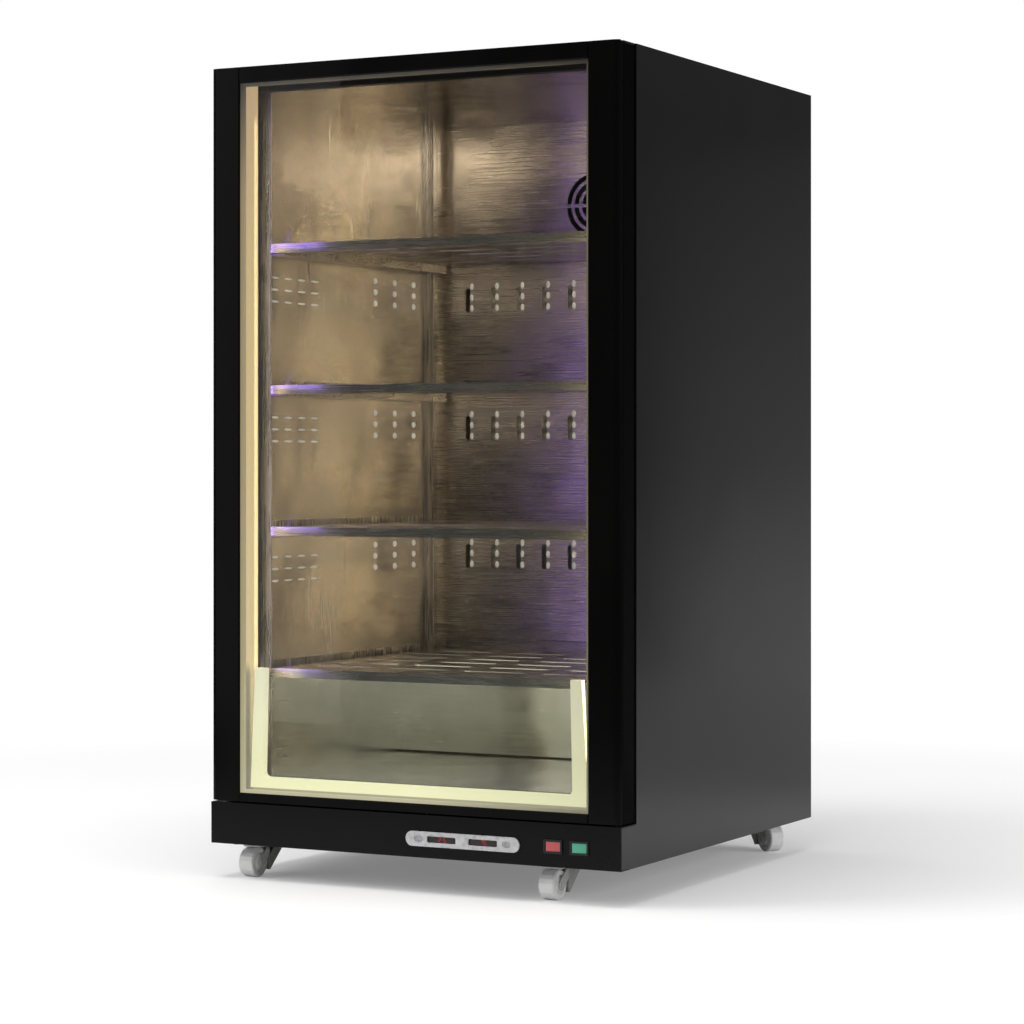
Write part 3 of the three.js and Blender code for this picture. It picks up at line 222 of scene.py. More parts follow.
def brushed(name, color, roughness, stretch, level_below=None, painted_cool_tone_below=None,
            line_relief=0.25, waves=0.0, metallic=1.0):
    """Rolled metal: long fine lines, level ones and a painted cooler tone in the low part, clouds
    of polish, and waves.
    """
    steel = Finish(name, color, roughness, metallic)
    lines = steel.noise(scale=420, detail=3, stretch=stretch)
    clouds = steel.noise(scale=7, detail=3, distortion=0.5)
    tone = steel.shades(clouds, color, *POLISH)
    if level_below:
        high = steel.rise(steel.along("Z"), level_below - 0.1 * MM, level_below)
        level_lines = steel.noise(scale=420, detail=3, stretch=LEVEL_LINES)
        lines = steel.blended(high, level_lines, lines)
        tone = steel.blended(high, steel.shades(clouds, painted_cool_tone_below, *POLISH), tone, "RGBA")
    steel.color(tone)
    steel.rough(steel.times(steel.spread(lines, 0.75, 1.25),
                            steel.spread(clouds, roughness * 0.85, roughness * 1.2)))
    if waves:
        steel.relief(steel.noise(scale=11, detail=1), depth=waves)
    return steel.relief(lines, depth=0.03 * MM, strength=line_relief).material


def plated(name, color, roughness):
    """Plating: a cloudy, slightly grainy metal."""
    plate = Finish(name, color, roughness, metallic=0.9)
    plate.color(plate.shades(plate.cells(140), color, 0.82, 1.06, start=0.1, end=0.6))
    plate.rough(plate.spread(plate.noise(scale=60, detail=3), roughness - 0.06, roughness + 0.1))
    grain = plate.noise(scale=900, detail=2)
    return plate.relief(grain, depth=0.02 * MM, strength=0.3).material


def moulded(name, color, roughness, grain=0.3):
    """Plastic, rubber or a dull coat, with a fine even grain."""
    plastic = Finish(name, color, roughness)
    mottle = plastic.noise(scale=30, detail=3)
    plastic.color(plastic.shades(mottle, color, 0.92, 1.08))
    plastic.rough(plastic.spread(mottle, roughness - 0.04, roughness + 0.06))
    texture = plastic.noise(scale=1500, detail=1)
    return plastic.relief(texture, depth=0.03 * MM, strength=grain).material


def foamed(name, color):
    """Rigid foam, with painted shade in its bubbles."""
    foam = Finish(name, color, 0.9)
    bubbles = foam.cells(380)
    # Painted shade: darker towards each bubble's middle, where it is deepest
    foam.color(foam.shades(bubbles, color, 0.7, 1.0, start=0.05, end=0.5))
    return foam.relief(bubbles, depth=0.4 * MM, strength=0.6).material


def pane(name):
    """Clear float glass with the faintest haze where it has been wiped."""
    glass = Finish(name, (0.97, 0.99, 0.98), 0.0, Transmission_Weight=1.0, IOR=1.45)
    wiped = glass.noise(scale=6, detail=4, distortion=1.0)
    glass.rough(glass.spread(wiped, 0.0, 0.012, start=0.45, end=0.8))
    return glass.material


def diffuser(name, stops, strength, faint=1.0):
    """Lit frosted cover, or a part painted as glowing though it is no lamp: the glow follows the
    height, and fades to the faint share rightwards.
    """
    cover = Finish(name, (0.2, 0.18, 0.13), 0.45, Emission_Strength=strength,
                   Specular_IOR_Level=0.3)
    fade_width = 250 * MM
    rightwards = cover.rise(cover.along("X"), 0.0, fade_width)
    glow = cover.blended(rightwards, cover.by_height(stops), cover.by_height(stops, faint), "RGBA")
    cover.feed(glow, cover.shader.inputs["Emission Color"])
    frosting = cover.noise(scale=800, detail=1)
    return cover.relief(frosting, depth=0.02 * MM, strength=0.2).material


def lit_lens(name, color, glow, strength):
    """Tinted lens lit from behind, with moulded pips; on the studs its glow is a painted highlight.
    """
    lens = Finish(name, color, 0.22, Emission_Color=(*glow, 1), Emission_Strength=strength)
    pips = lens.cells(900)
    lens.color(lens.shades(pips, color, 1.25, 0.85, start=0.1, end=0.5))
    return lens.relief(pips, depth=0.08 * MM, strength=0.35).material


# How far from the middle the door's outer edges begin
DOOR_EDGE = 299.4 * MM
# How far up the liner's lines lie level, just past its step
LEVEL_LINES_TO = 252.5 * MM

# Glow of the lit covers by height in metres, and the painted glow of the glass spacer
REVEAL_GLOW = [(0.11, (0.2, 0.19, 0.15)), (0.27, (0.3, 0.27, 0.19)), (0.285, (0.82, 0.64, 0.36)),
               (0.55, (0.76, 0.56, 0.3)), (0.8, (0.68, 0.5, 0.26)), (1.05, (0.6, 0.41, 0.24))]
SPACER_PAINTED_GLOW = [(0.11, (0.5, 0.46, 0.3)), (0.28, (0.4, 0.34, 0.2)), (0.9, (0.3, 0.23, 0.14)),
               (1.04, (0.05, 0.045, 0.04))]
FOOT_GLOW = [(0.11, (0.3, 0.28, 0.2)), (0.1205, (0.4, 0.37, 0.24)), (0.1215, (1.0, 0.96, 0.58)),
             (0.2, (1.0, 0.97, 0.66)), (0.28, (0.9, 0.86, 0.62))]

cabinet_black = powder_coat("cabinet_black", (0.004, 0.004, 0.0042), 0.16)
plinth_black = powder_coat("plinth_black", (0.003, 0.0027, 0.0033), 0.24, sheen_level=0.18)
frame_black = gloss_black("frame_black", (0.004, 0.0038, 0.0037), 0.12, sheen_level=0.09,
                          matt_edge=DOOR_EDGE)
# The liner's low part gets a cooler tone, painted to offset the warm lamp light that falls there
liner_steel = brushed("liner_steel", (0.6, 0.56, 0.5), 0.2, UPRIGHT_LINES,
                      level_below=LEVEL_LINES_TO, painted_cool_tone_below=(0.56, 0.55, 0.51), waves=2.5 * MM)
duct_steel = brushed("duct_steel", (0.76, 0.7, 0.63), 0.26, CROSSWISE_LINES,
                     line_relief=0.12, waves=2 * MM)
shelf_steel = brushed("shelf_steel", (0.6, 0.57, 0.52), 0.26, CROSSWISE_LINES, metallic=0.94)
rack_steel = brushed("rack_steel", (0.6, 0.57, 0.53), 0.28, UPRIGHT_LINES, metallic=0.88)
fin_aluminium = brushed("fin_aluminium", (0.74, 0.75, 0.76), 0.36, FIN_LINES)
caster_zinc = plated("caster_zinc", (0.6, 0.61, 0.62), 0.34)
hinge_zinc = plated("hinge_zinc", (0.5, 0.5, 0.5), 0.38)
bezel_silver = plated("bezel_silver", (0.74, 0.74, 0.75), 0.3)
key_silver = plated("key_silver", (0.5, 0.5, 0.52), 0.26)
fork_zinc = moulded("fork_zinc", (0.55, 0.55, 0.54), 0.36)
hood_grey = moulded("hood_grey", (0.4, 0.39, 0.38), 0.45)
screw_zinc = moulded("screw_zinc", (0.5, 0.5, 0.49), 0.34)
trim_black = moulded("trim_black", (0.012, 0.012, 0.013), 0.45)
fan_black = moulded("fan_black", (0.02, 0.02, 0.021), 0.4)
tray_black = moulded("tray_black", (0.03, 0.03, 0.03), 0.5)
gasket_rubber = moulded("gasket_rubber", (0.011, 0.011, 0.012), 0.62, grain=0.5)
wheel_nylon = moulded("wheel_nylon", (0.84, 0.845, 0.84), 0.42)
# Sealant, dark as painted shade along the corners it fills
sealant_and_shade = moulded("sealant_and_shade", (0.1, 0.093, 0.076), 0.5)
lens_smoke = gloss_black("lens_smoke", (0.02, 0.006, 0.007), 0.1)
insulation = foamed("insulation", (0.72, 0.62, 0.33))
door_pane = pane("door_pane")
reveal_light = diffuser("reveal_light", REVEAL_GLOW, 0.9)
# The glass spacer is no lamp: its glow is painted light from the bars
spacer_painted_glow = diffuser("spacer_painted_glow", SPACER_PAINTED_GLOW, 0.9, faint=0.3)
foot_light = diffuser("foot_light", FOOT_GLOW, 0.92, faint=0.76)
# The studs are no lamps: their glow is a painted highlight
stud_painted_glow = lit_lens("stud_painted_glow", (0.85, 0.83, 0.78), (1.0, 0.92, 0.8), 0.3)
violet_tube = lit_lens("violet_tube", (0.3, 0.2, 0.8), (0.32, 0.16, 1.0), 1.5)
red_lens = lit_lens("red_lens", (0.36, 0.07, 0.07), (0.9, 0.18, 0.18), 0.24)
green_lens = lit_lens("green_lens", (0.06, 0.28, 0.18), (0.12, 0.58, 0.36), 0.28)
digit_red = lit_lens("digit_red", (0.3, 0.01, 0.01), (1.0, 0.06, 0.05), 0.35)

CASTERS = ["front_left", "front_right", "rear_right", "rear_left"]
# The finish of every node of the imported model
FINISH_OF = {
    cabinet_black: ["left_side_panel", "right_side_panel", "top_panel", "rear_panel",
                    "machine_cover", "base_pan", "upper_hinge", "compressor"],
    plinth_black: ["plinth_panel"],
    frame_black: ["left_stile", "right_stile", "top_rail", "bottom_rail"],
    liner_steel: ["inner_liner"],
    duct_steel: ["air_duct_panel"],
    shelf_steel: ["shelf_1", "shelf_2", "shelf_3", "shelf_4"],
    rack_steel: ["left_shelf_rack", "right_shelf_rack"],
    hinge_zinc: ["lower_hinge"],
    fin_aluminium: ["evaporator", "condenser"],
    spacer_painted_glow: ["glass_spacer"],
    trim_black: ["front_frame", "power_inlet", "red_switch_housing", "green_switch_housing"],
    fan_black: ["circulation_fan", "condenser_fan", "circulation_fan_motor"],
    tray_black: ["drip_tray"],
    gasket_rubber: ["door_gasket"],
    bezel_silver: ["control_bezel"],
    key_silver: ["left_key", "right_key"],
    lens_smoke: ["display_lens"],
    insulation: ["insulation_foam"],
    door_pane: ["outer_pane", "inner_pane"],
    reveal_light: ["light_bar_left", "light_bar_right"],
    foot_light: ["lower_light_frame"],
    violet_tube: ["violet_lamp"],
    red_lens: ["red_rocker"],
    green_lens: ["green_rocker"],
    caster_zinc: [f"{corner}_caster_plate" for corner in CASTERS],
    fork_zinc: [f"{corner}_caster_fork" for corner in CASTERS],
    wheel_nylon: [f"{corner}_caster_wheel" for corner in CASTERS],
}
for material, names in FINISH_OF.items():
    for name in names:
        cad[name].data.materials.clear()
        cad[name].data.materials.append(material)
# Clear panes throw no shadow, so the lamps reach through them
for name in FINISH_OF[door_pane]:
    cad[name].visible_shadow = False


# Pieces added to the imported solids

def added(name, mesh, material, body):
    """A new piece with its finish, which rides on the given body."""
    piece = bpy.data.objects.new(name, mesh)
    bpy.context.collection.objects.link(piece)
    mesh.materials.clear()
    mesh.materials.append(material)
    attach(piece, body)


def mesh_of(name, build):
    """The mesh that a function builds, with its faces turned outwards."""
    shape = bmesh.new()
    build(shape)
    bmesh.ops.recalc_face_normals(shape, faces=shape.faces)
    mesh = bpy.data.meshes.new(name)
    shape.to_mesh(mesh)
    shape.free()
    return mesh


def row(start, end, count):
    """Evenly spaced places from start to end, both included."""
    a, b = Vector(start), Vector(end)
    return [a.lerp(b, i / (count - 1)) for i in range(count)]


# Repeats: a node tree sets one shape on a set of points

def points_tree(name, inputs):
    """A tree that takes points, the named inputs and a finish, with its first and last node."""
    tree = bpy.data.node_groups.new(name, "GeometryNodeTree")
    face = tree.interface
    for socket, kind in {"Points": "Geometry", **inputs, "Finish": "Material"}.items():
        face.new_socket(socket, in_out="INPUT", socket_type="NodeSocket" + kind)
    face.new_socket("Pieces", in_out="OUTPUT", socket_type="NodeSocketGeometry")
    return tree, tree.nodes.new("NodeGroupInput"), tree.nodes.new("NodeGroupOutput")


def on_every_point(tree, given, result, shape, **inputs):
    """The tree's end: the shape on every point, made real and given its finish."""
    make, link = tree.nodes.new, tree.links.new
    spread = make("GeometryNodeInstanceOnPoints")
    link(given.outputs["Points"], spread.inputs["Points"])
    link(shape, spread.inputs["Instance"])
    for socket, name in inputs.items():
        link(given.outputs[name], spread.inputs[socket])
    real = make("GeometryNodeRealizeInstances")
    link(spread.outputs[0], real.inputs[0])
    coat = make("GeometryNodeSetMaterial")
    link(real.outputs[0], coat.inputs["Geometry"])
    link(given.outputs["Finish"], coat.inputs["Material"])
    link(coat.outputs[0], result.inputs[0])
    return tree


def spread_on(name, points, tree, values):
    """The mesh that a node tree makes on the given points."""
    dots = bpy.data.meshes.new(name)
    dots.from_pydata([Vector(p) for p in points], [], [])
    holder = bpy.data.objects.new(name + "_points", dots)
    bpy.context.collection.objects.link(holder)
    modifier = holder.modifiers.new("spread", "NODES")
    modifier.node_group = tree
    for item in tree.interface.items_tree:
        if item.in_out == "INPUT" and item.name in values:
            modifier[item.identifier] = values[item.name]
    seen = holder.evaluated_get(bpy.context.evaluated_depsgraph_get())
    made = bpy.data.meshes.new_from_object(seen)
    made.name = name
    bpy.data.objects.remove(holder)
    return made


# Screw heads: a node tree sets a cross-recessed head on every given point

# A head's sizes as shares of its radius, and its recess's as shares of the head's
HEAD_HEIGHT, RECESS_WIDTH, HEAD_TOP = 0.4, 0.26, 0.72
RECESS_LENGTH, RECESS_LIFT = 1.1, 1.1


def screw_tree():
    sizes = {"Head Radius": "Float", "Head Height": "Float", "Recess Width": "Float"}
    tree, given, result = points_tree("screw_heads", {**sizes, "Turn": "Rotation"})
    make, link = tree.nodes.new, tree.links.new

    def scaled_by(source, factor):
        product = make("ShaderNodeMath")
        product.operation = "MULTIPLY"
        link(source, product.inputs[0])
        product.inputs[1].default_value = factor
        return product.outputs[0]

    head = make("GeometryNodeMeshCone")
    head.inputs["Vertices"].default_value = 16
    link(scaled_by(given.outputs["Head Radius"], HEAD_TOP), head.inputs["Radius Top"])
    link(given.outputs["Head Radius"], head.inputs["Radius Bottom"])
    link(given.outputs["Head Height"], head.inputs["Depth"])
    lift = make("ShaderNodeCombineXYZ")
    link(scaled_by(given.outputs["Head Height"], RECESS_LIFT), lift.inputs["Z"])
    cut = make("GeometryNodeMeshBoolean")
    cut.operation = "DIFFERENCE"
    cut.solver = "EXACT"
    link(head.outputs["Mesh"], cut.inputs["Mesh 1"])
    for along, across in ("XY", "YX"):
        size = make("ShaderNodeCombineXYZ")
        link(scaled_by(given.outputs["Head Radius"], RECESS_LENGTH), size.inputs[along])
        link(given.outputs["Recess Width"], size.inputs[across])
        link(given.outputs["Head Height"], size.inputs["Z"])
        bar = make("GeometryNodeMeshCube")
        link(size.outputs[0], bar.inputs["Size"])
        raised = make("GeometryNodeTransform")
        link(bar.outputs["Mesh"], raised.inputs["Geometry"])
        link(lift.outputs[0], raised.inputs["Translation"])
        link(raised.outputs[0], cut.inputs["Mesh 2"])
    return on_every_point(tree, given, result, cut.outputs[0], Rotation="Turn")


SCREWS = screw_tree()
# Turns in degrees that point a head's top along an axis
FACING = {"-Y": (90, 0, 0), "+Y": (-90, 0, 0), "-Z": (180, 0, 0)}
# How deep a head is set into the face that it clamps
SEAT = 0.1 * MM


def screws(name, points, facing, radius, material):
    """Screw heads whose undersides lie on the given points and whose tops face the given way."""
    values = {"Head Radius": radius, "Head Height": radius * HEAD_HEIGHT,
              "Recess Width": radius * RECESS_WIDTH,
              "Turn": tuple(math.radians(turn) for turn in FACING[facing]), "Finish": material}
    added(name, spread_on(name, points, SCREWS, values), material, "cabinet")


def column(x, y, bottom, top, count):
    return row((x, y, bottom), (x, y, top), count)


def cabinet_screws():
    """Screws down both sides and along the top of the rear, inside the side panels' flanges."""
    _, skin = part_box("machine_cover")
    _, left_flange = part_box("left_side_panel")
    right_flange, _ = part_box("right_side_panel")
    inset, top_row_inset, radius = 9 * MM, 60 * MM, 3.4 * MM
    back = skin.y - SEAT
    sides = (left_flange.x + inset, right_flange.x - inset)
    low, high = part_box("rear_panel")
    bottom, top = low.z + inset, high.z - inset
    rear = [place for x in sides for place in column(x, back, bottom, top, 6)]
    rear += row((sides[0] + top_row_inset, back, top), (sides[1] - top_row_inset, back, top), 4)
    screws("rear_panel_screws", rear, "+Y", radius, screw_zinc)
    low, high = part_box("machine_cover")
    bottom, top = low.z + 2 * inset, high.z - inset
    cover = [place for x in sides for place in column(x, back, bottom, top, 3)]
    screws("machine_cover_screws", cover, "+Y", radius, screw_zinc)


def duct_screws():
    low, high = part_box("air_duct_panel")
    inset, radius = 12 * MM, 3 * MM
    heads = [place for x in (low.x + inset, high.x - inset)
             for place in column(x, low.y + SEAT, low.z + inset, high.z - inset, 5)]
    screws("duct_screws", heads, "-Y", radius, rack_steel)


def caster_bolts():
    reach, plate_thick, radius = 21.5 * MM, 2.5 * MM, 4.2 * MM
    offsets = [(x, y) for x in (-reach, reach) for y in (-reach, reach)]
    for corner in CASTERS:
        low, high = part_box(f"{corner}_caster_plate")
        centre = (low + high) / 2
        under = high.z - plate_thick + SEAT
        heads = [(centre.x + x, centre.y + y, under) for x, y in offsets]
        screws(f"{corner}_caster_bolts", heads, "-Z", radius, screw_zinc)


cabinet_screws()
duct_screws()
caster_bolts()


# Pressed hoods of the casters

def prism(shape, outline, start, end):
    """A flat outline in y and z, made solid from one x to the other."""
    rings = [[shape.verts.new((x, y, z)) for y, z in outline] for x in (start, end)]
    for i in range(len(outline)):
        j = (i + 1) % len(outline)
        shape.faces.new((rings[0][i], rings[0][j], rings[1][j], rings[1][i]))
    shape.faces.new(rings[0][::-1])
    shape.faces.new(rings[1])


# How far each caster has swivelled, in degrees, and how far back its hood reaches
CASTER_HOODS = {"front_left": (0, 39 * MM), "front_right": (0, 39 * MM),
                "rear_right": (55, 27 * MM), "rear_left": (-40, 27 * MM)}


def fork_hoods():
    """A pressed hood behind each wheel, longer in front, where it is the brake's pedal."""
    near, far, sheet = 12 * MM, 14 * MM, 1.6 * MM
    front_top, roof_front, roof_drop, eave_drop = 4 * MM, 16 * MM, 2 * MM, 3 * MM
    heel, toe = (3 * MM, 10 * MM), (6 * MM, 7.4 * MM)
    inner_toe = (toe[0] - sheet / 2, toe[1] + sheet)
    for corner, (turn, rear_top) in CASTER_HOODS.items():
        _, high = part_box(f"{corner}_caster_fork")
        roof = high.z - roof_drop
        eave = roof - eave_drop
        inner_rear = rear_top - 1.4 * sheet
        outside = [(rear_top, roof), (rear_top, eave), toe]
        cheek = [(front_top, roof), *outside, heel]
        web = [(roof_front, roof), *outside, inner_toe, (inner_rear, eave + 0.6 * sheet),
               (inner_rear, roof - sheet), (roof_front, roof - sheet)]

        def build(shape):
            prism(shape, cheek, -far, -near)
            prism(shape, cheek, near, far)
            prism(shape, web, -near, near)

        mesh = mesh_of(f"{corner}_fork_hood", build)
        plate_low, plate_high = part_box(f"{corner}_caster_plate")
        pivot = (plate_low + plate_high) / 2
        swivelled = Matrix.Rotation(math.radians(turn), 4, "Z")
        mesh.transform(Matrix.Translation((pivot.x, pivot.y, 0)) @ swivelled)
        added(f"{corner}_fork_hood", mesh, hood_grey, f"{corner}_fork")


fork_hoods()


# Sealant beads, whose dark colour is also painted shade along the corners they fill

# The liner's sheet, its step's depth, and the gap between the air duct and what it meets
LINER_SHEET, STEP_DEPTH, DUCT_GAP = 1 * MM, 144 * MM, 0.3 * MM


def wedge(shape, start, end, to_a, to_b):
    """A three-sided bead from start to end, filling the corner between two walls."""
    ring = [[shape.verts.new(Vector(at) + Vector(reach)) for reach in ((0, 0, 0), to_a, to_b)]
            for at in (start, end)]
    for i in range(3):
        j = (i + 1) % 3
        shape.faces.new((ring[0][i], ring[0][j], ring[1][j], ring[1][i]))
    shape.faces.new(ring[0])
    shape.faces.new(ring[1][::-1])


def sealant_beads():
    """Beads where the step meets the liner's floor and where the duct meets the step."""
    low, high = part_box("inner_liner")
    duct_low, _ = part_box("air_duct_panel")
    bead = 2.6 * MM
    left, right = low.x + LINER_SHEET, high.x - LINER_SHEET
    corners = [(high.y - STEP_DEPTH, low.z + LINER_SHEET), (duct_low.y, duct_low.z - DUCT_GAP)]

    def build(shape):
        for y, z in corners:
            wedge(shape, (left, y, z), (right, y, z), (0, -bead, 0), (0, 0, bead))

    added("sealant_beads", mesh_of("sealant_beads", build), sealant_and_shade, "cabinet")


sealant_beads()


# Pale studs by the air slots and on the side walls, whose glow is a painted highlight: a node tree
# sets a stud on every given point

def stud_tree():
    tree, given, result = points_tree("air_studs", {"Stud Size": "Vector"})
    make, link = tree.nodes.new, tree.links.new
    # A ball one metre across, which the stud's size shrinks and stretches
    stud = make("GeometryNodeMeshUVSphere")
    stud.inputs["Segments"].default_value = 12
    stud.inputs["Rings"].default_value = 8
    stud.inputs["Radius"].default_value = 0.5
    smooth = make("GeometryNodeSetShadeSmooth")
    link(stud.outputs["Mesh"], smooth.inputs["Geometry"])
    return on_every_point(tree, given, result, smooth.outputs["Geometry"], Scale="Stud Size")


STUDS = stud_tree()
# The shelves with studs under them, and how far under them the rows of studs are
STUDDED_SHELVES = (2, 3, 4)
STUD_DROPS = (20 * MM, 36 * MM, 52 * MM)


def studs(name, points, size):
    values = {"Stud Size": size, "Finish": stud_painted_glow}
    added(name, spread_on(name, points, STUDS, values), stud_painted_glow, "cabinet")


def stud_heights():
    undersides = [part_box(f"shelf_{level}")[0].z for level in STUDDED_SHELVES]
    return [under - drop for under in undersides for drop in STUD_DROPS]


def slot_studs():
    """Three studs up the edge of each air slot in the duct."""
    low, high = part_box("air_duct_panel")
    slots, margin, beside = 11, 52 * MM, 6.4 * MM
    first, last = low.x - DUCT_GAP + margin + beside, high.x + DUCT_GAP - margin + beside
    points = [place for z in stud_heights()
              for place in row((first, low.y, z), (last, low.y, z), slots)]
    studs("slot_studs", points, (5.6 * MM, 6 * MM, 10 * MM))


def wall_studs():
    """Round studs towards the back of each side wall, and lower, long ones towards the front."""
    low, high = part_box("inner_liner")
    round_from, round_to, long_from, long_to = 55 * MM, 165 * MM, -212 * MM, -110 * MM
    lower = 10 * MM
    for side, x in (("left", low.x + LINER_SHEET), ("right", high.x - LINER_SHEET)):
        rounds, longs = [], []
        for z in stud_heights():
            rounds += row((x, round_from, z), (x, round_to, z), 3)
            longs += row((x, long_from, z - lower), (x, long_to, z - lower), 4)
        studs(f"{side}_round_studs", rounds, (5 * MM, 10 * MM, 9 * MM))
        studs(f"{side}_long_studs", longs, (4 * MM, 20 * MM, 3.4 * MM))


slot_studs()
wall_studs()


# Figures on the controller's display

# The bars lit for each figure shown: a to f clockwise from the top, and g across the middle
LIT_BARS = {"2": "abdeg", "5": "acdfg", "7": "abc"}
DIGIT_WIDE, DIGIT_TALL, STROKE, SLAB = 3.2 * MM, 5.6 * MM, 0.62 * MM, 0.1 * MM
DIGIT_PITCH, DOT_PITCH = 4.7 * MM, 2.0 * MM


def number(shape, text, centre_x, centre_z, front):
    """Seven-bar figures as thin slabs on the display's face."""
    half_wide, half_tall = DIGIT_WIDE / 2, DIGIT_TALL / 2
    corner = STROKE * 1.3
    level, upright = (DIGIT_WIDE - corner, STROKE), (STROKE, half_tall - corner)
    dot = (STROKE, STROKE)
    bars = {"a": (0, half_tall, level), "d": (0, -half_tall, level), "g": (0, 0, level),
            "b": (half_wide, half_tall / 2, upright), "c": (half_wide, -half_tall / 2, upright),
            "f": (-half_wide, half_tall / 2, upright), "e": (-half_wide, -half_tall / 2, upright)}
    pitches = [DOT_PITCH if sign == "." else DIGIT_PITCH for sign in text]
    x = centre_x - sum(pitches) / 2
    for sign, pitch in zip(text, pitches):
        middle = x + pitch / 2
        lit = [(0, -half_tall, dot)] if sign == "." else [bars[bar] for bar in LIT_BARS[sign]]
        for dx, dz, (wide, tall) in lit:
            for vertex in bmesh.ops.create_cube(shape, size=1.0)["verts"]:
                vertex.co.x = middle + dx + vertex.co.x * wide
                vertex.co.y = front + (vertex.co.y - 0.5) * SLAB
                vertex.co.z = centre_z + dz + vertex.co.z * tall
        x += pitch


def display_numbers():
    low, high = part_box("display_lens")
    centre = (low + high) / 2
    window = 29.7 * MM

    def build(shape):
        number(shape, "2.5", centre.x - window, centre.z, low.y)
        number(shape, "75", centre.x + window, centre.z, low.y)

    added("display_numbers", mesh_of("display_numbers", build), digit_red, "cabinet")


display_numbers()


# Studio: pale floor, white surroundings, soft lamps, and screens that only gloss sees

FLOOR_HALF = 40
FLOOR_COLOR = (0.82, 0.82, 0.82)
FLOOR_LIFT = 0.2
FADE_FROM, FADE_TO = 0.8, 1.9
BLACK = (0.0, 0.0, 0.0)


def stage_plane(name, corners, material):
    """A flat sheet of the studio, which isn't part of the object."""
    mesh = bpy.data.meshes.new(name)
    mesh.from_pydata(corners, [], [tuple(range(len(corners)))])
    plane = bpy.data.objects.new(name, mesh)
    bpy.context.collection.objects.link(plane)
    mesh.materials.append(material)
    return plane


def straight_rays(tree):
    """One for the camera's own rays, also after clear glass, and nought once they have bounced."""
    def reckoned(operation, first, second):
        made = tree.nodes.new("ShaderNodeMath")
        made.operation = operation
        tree.links.new(first, made.inputs[0])
        if isinstance(second, float):
            made.inputs[1].default_value = second
        else:
            tree.links.new(second, made.inputs[1])
        return made.outputs[0]

    rays = tree.nodes.new("ShaderNodeLightPath").outputs
    bounces = reckoned("ADD", rays["Glossy Depth"], rays["Diffuse Depth"])
    direct = reckoned("LESS_THAN", bounces, 0.5)
    through = reckoned("MULTIPLY", rays["Is Transmission Ray"], direct)
    return reckoned("MAXIMUM", rays["Is Camera Ray"], through)


def studio_floor():
    """Pale and lit near the object, and plain white to the camera further out, with no horizon."""
    floor = Finish("studio_floor", FLOOR_COLOR, 0.9, Specular_IOR_Level=0.0,
                   Emission_Color=(1, 1, 1, 1))
    away = floor.node("ShaderNodeVectorMath", operation="LENGTH")
    floor.feed(floor.place, away.inputs[0])
    fade = floor.rise(away.outputs["Value"], FADE_FROM, FADE_TO)
    floor.color(floor.tones(fade, [(0.0, FLOOR_COLOR), (1.0, BLACK)]))
    lift = floor.spread(fade, FLOOR_LIFT, 1.0, start=0.0, end=1.0)
    strength = floor.times(lift, straight_rays(floor.tree))
    floor.feed(strength, floor.shader.inputs["Emission Strength"])
    size = FLOOR_HALF
    corners = [(-size, -size, 0), (size, -size, 0), (size, size, 0), (-size, size, 0)]
    stage_plane("floor", corners, floor.material)


def surroundings(above, horizon, above_from=0.9):
    """White to the camera and through glass; otherwise dim at the horizon and paler above."""
    world = bpy.data.worlds.new("surroundings")
    bpy.context.scene.world = world
    world.use_nodes = True
    make, link = world.node_tree.nodes.new, world.node_tree.links.new
    place = make("ShaderNodeTexCoord")
    split = make("ShaderNodeSeparateXYZ")
    link(place.outputs["Generated"], split.inputs[0])
    ramp = make("ShaderNodeMapRange")
    ramp.inputs["From Max"].default_value = above_from
    ramp.inputs["To Min"].default_value = horizon
    ramp.inputs["To Max"].default_value = above
    link(split.outputs["Z"], ramp.inputs["Value"])
    mix = make("ShaderNodeMix")
    link(straight_rays(world.node_tree), mix.inputs["Factor"])
    link(ramp.outputs["Result"], mix.inputs["A"])
    mix.inputs["B"].default_value = 1.0
    link(mix.outputs["Result"], world.node_tree.nodes["Background"].inputs["Color"])


def screen(name, corners, tones_of_height, through_glass=False):
    """A sheet for reflections, its tones by height, that is plain white straight through glass."""
    sheet = Finish(name, BLACK, 1.0, Emission_Strength=1.0, Specular_IOR_Level=0.0)
    shown = sheet.node("ShaderNodeMath", operation="MAXIMUM")
    tones = sheet.by_height([(z, (tone, tone, tone)) for z, tone in tones_of_height])
    sheet.feed(tones, shown.inputs[0])
    sheet.feed(straight_rays(sheet.tree), shown.inputs[1])
    sheet.feed(shown.outputs[0], sheet.shader.inputs["Emission Color"])
    plane = stage_plane(name, corners, sheet.material)
    plane.visible_camera = False
    plane.visible_diffuse = False
    plane.visible_shadow = False
    plane.visible_transmission = through_glass


def standing(left, right, y, tall):
    return [(left, y, 0), (right, y, 0), (right, y, tall), (left, y, tall)]


def lying(left, right, near, far, near_z, far_z):
    return [(left, near, near_z), (right, near, near_z), (right, far, far_z), (left, far, far_z)]


def screens():
    """What the steel, the black faces and the glass show in their gloss."""
    screen("dark_room", standing(-3.4, 2.2, -2.4, 2.6), [(0, 0.03), (1.0, 0.02), (2.6, 0.01)],
           through_glass=True)
    screen("side_card", standing(0.2, 1.8, 3.0, 1.3),
           [(0, 0.48), (0.25, 0.43), (0.55, 0.26), (1.3, 0.13)], through_glass=True)
    screen("floor_card", lying(0.45, 1.9, 1.1, 3.0, 0.002, 0.01), [(0, 0.38), (0.01, 0.44)])
    screen("left_card", standing(-1.57, -1.3, -2.3, 2.0), [(0, 0.5), (1.0, 0.34), (2.0, 0.5)])
    screen("edge_card", standing(-2.3, -1.57, -2.3, 2.0),
           [(0, 0.9), (0.5, 0.6), (1.2, 1.0), (2.0, 1.0)])


# Colours of the lamps
WHITE = (1, 1, 1)
WARM = (1.0, 0.8, 0.52)
FOOT_WHITE = (1.0, 0.98, 0.82)
CEILING_WARM = (1.0, 0.84, 0.68)
SHELF_WARM = (1.0, 0.84, 0.7)
VIOLET = (0.34, 0.2, 1.0)


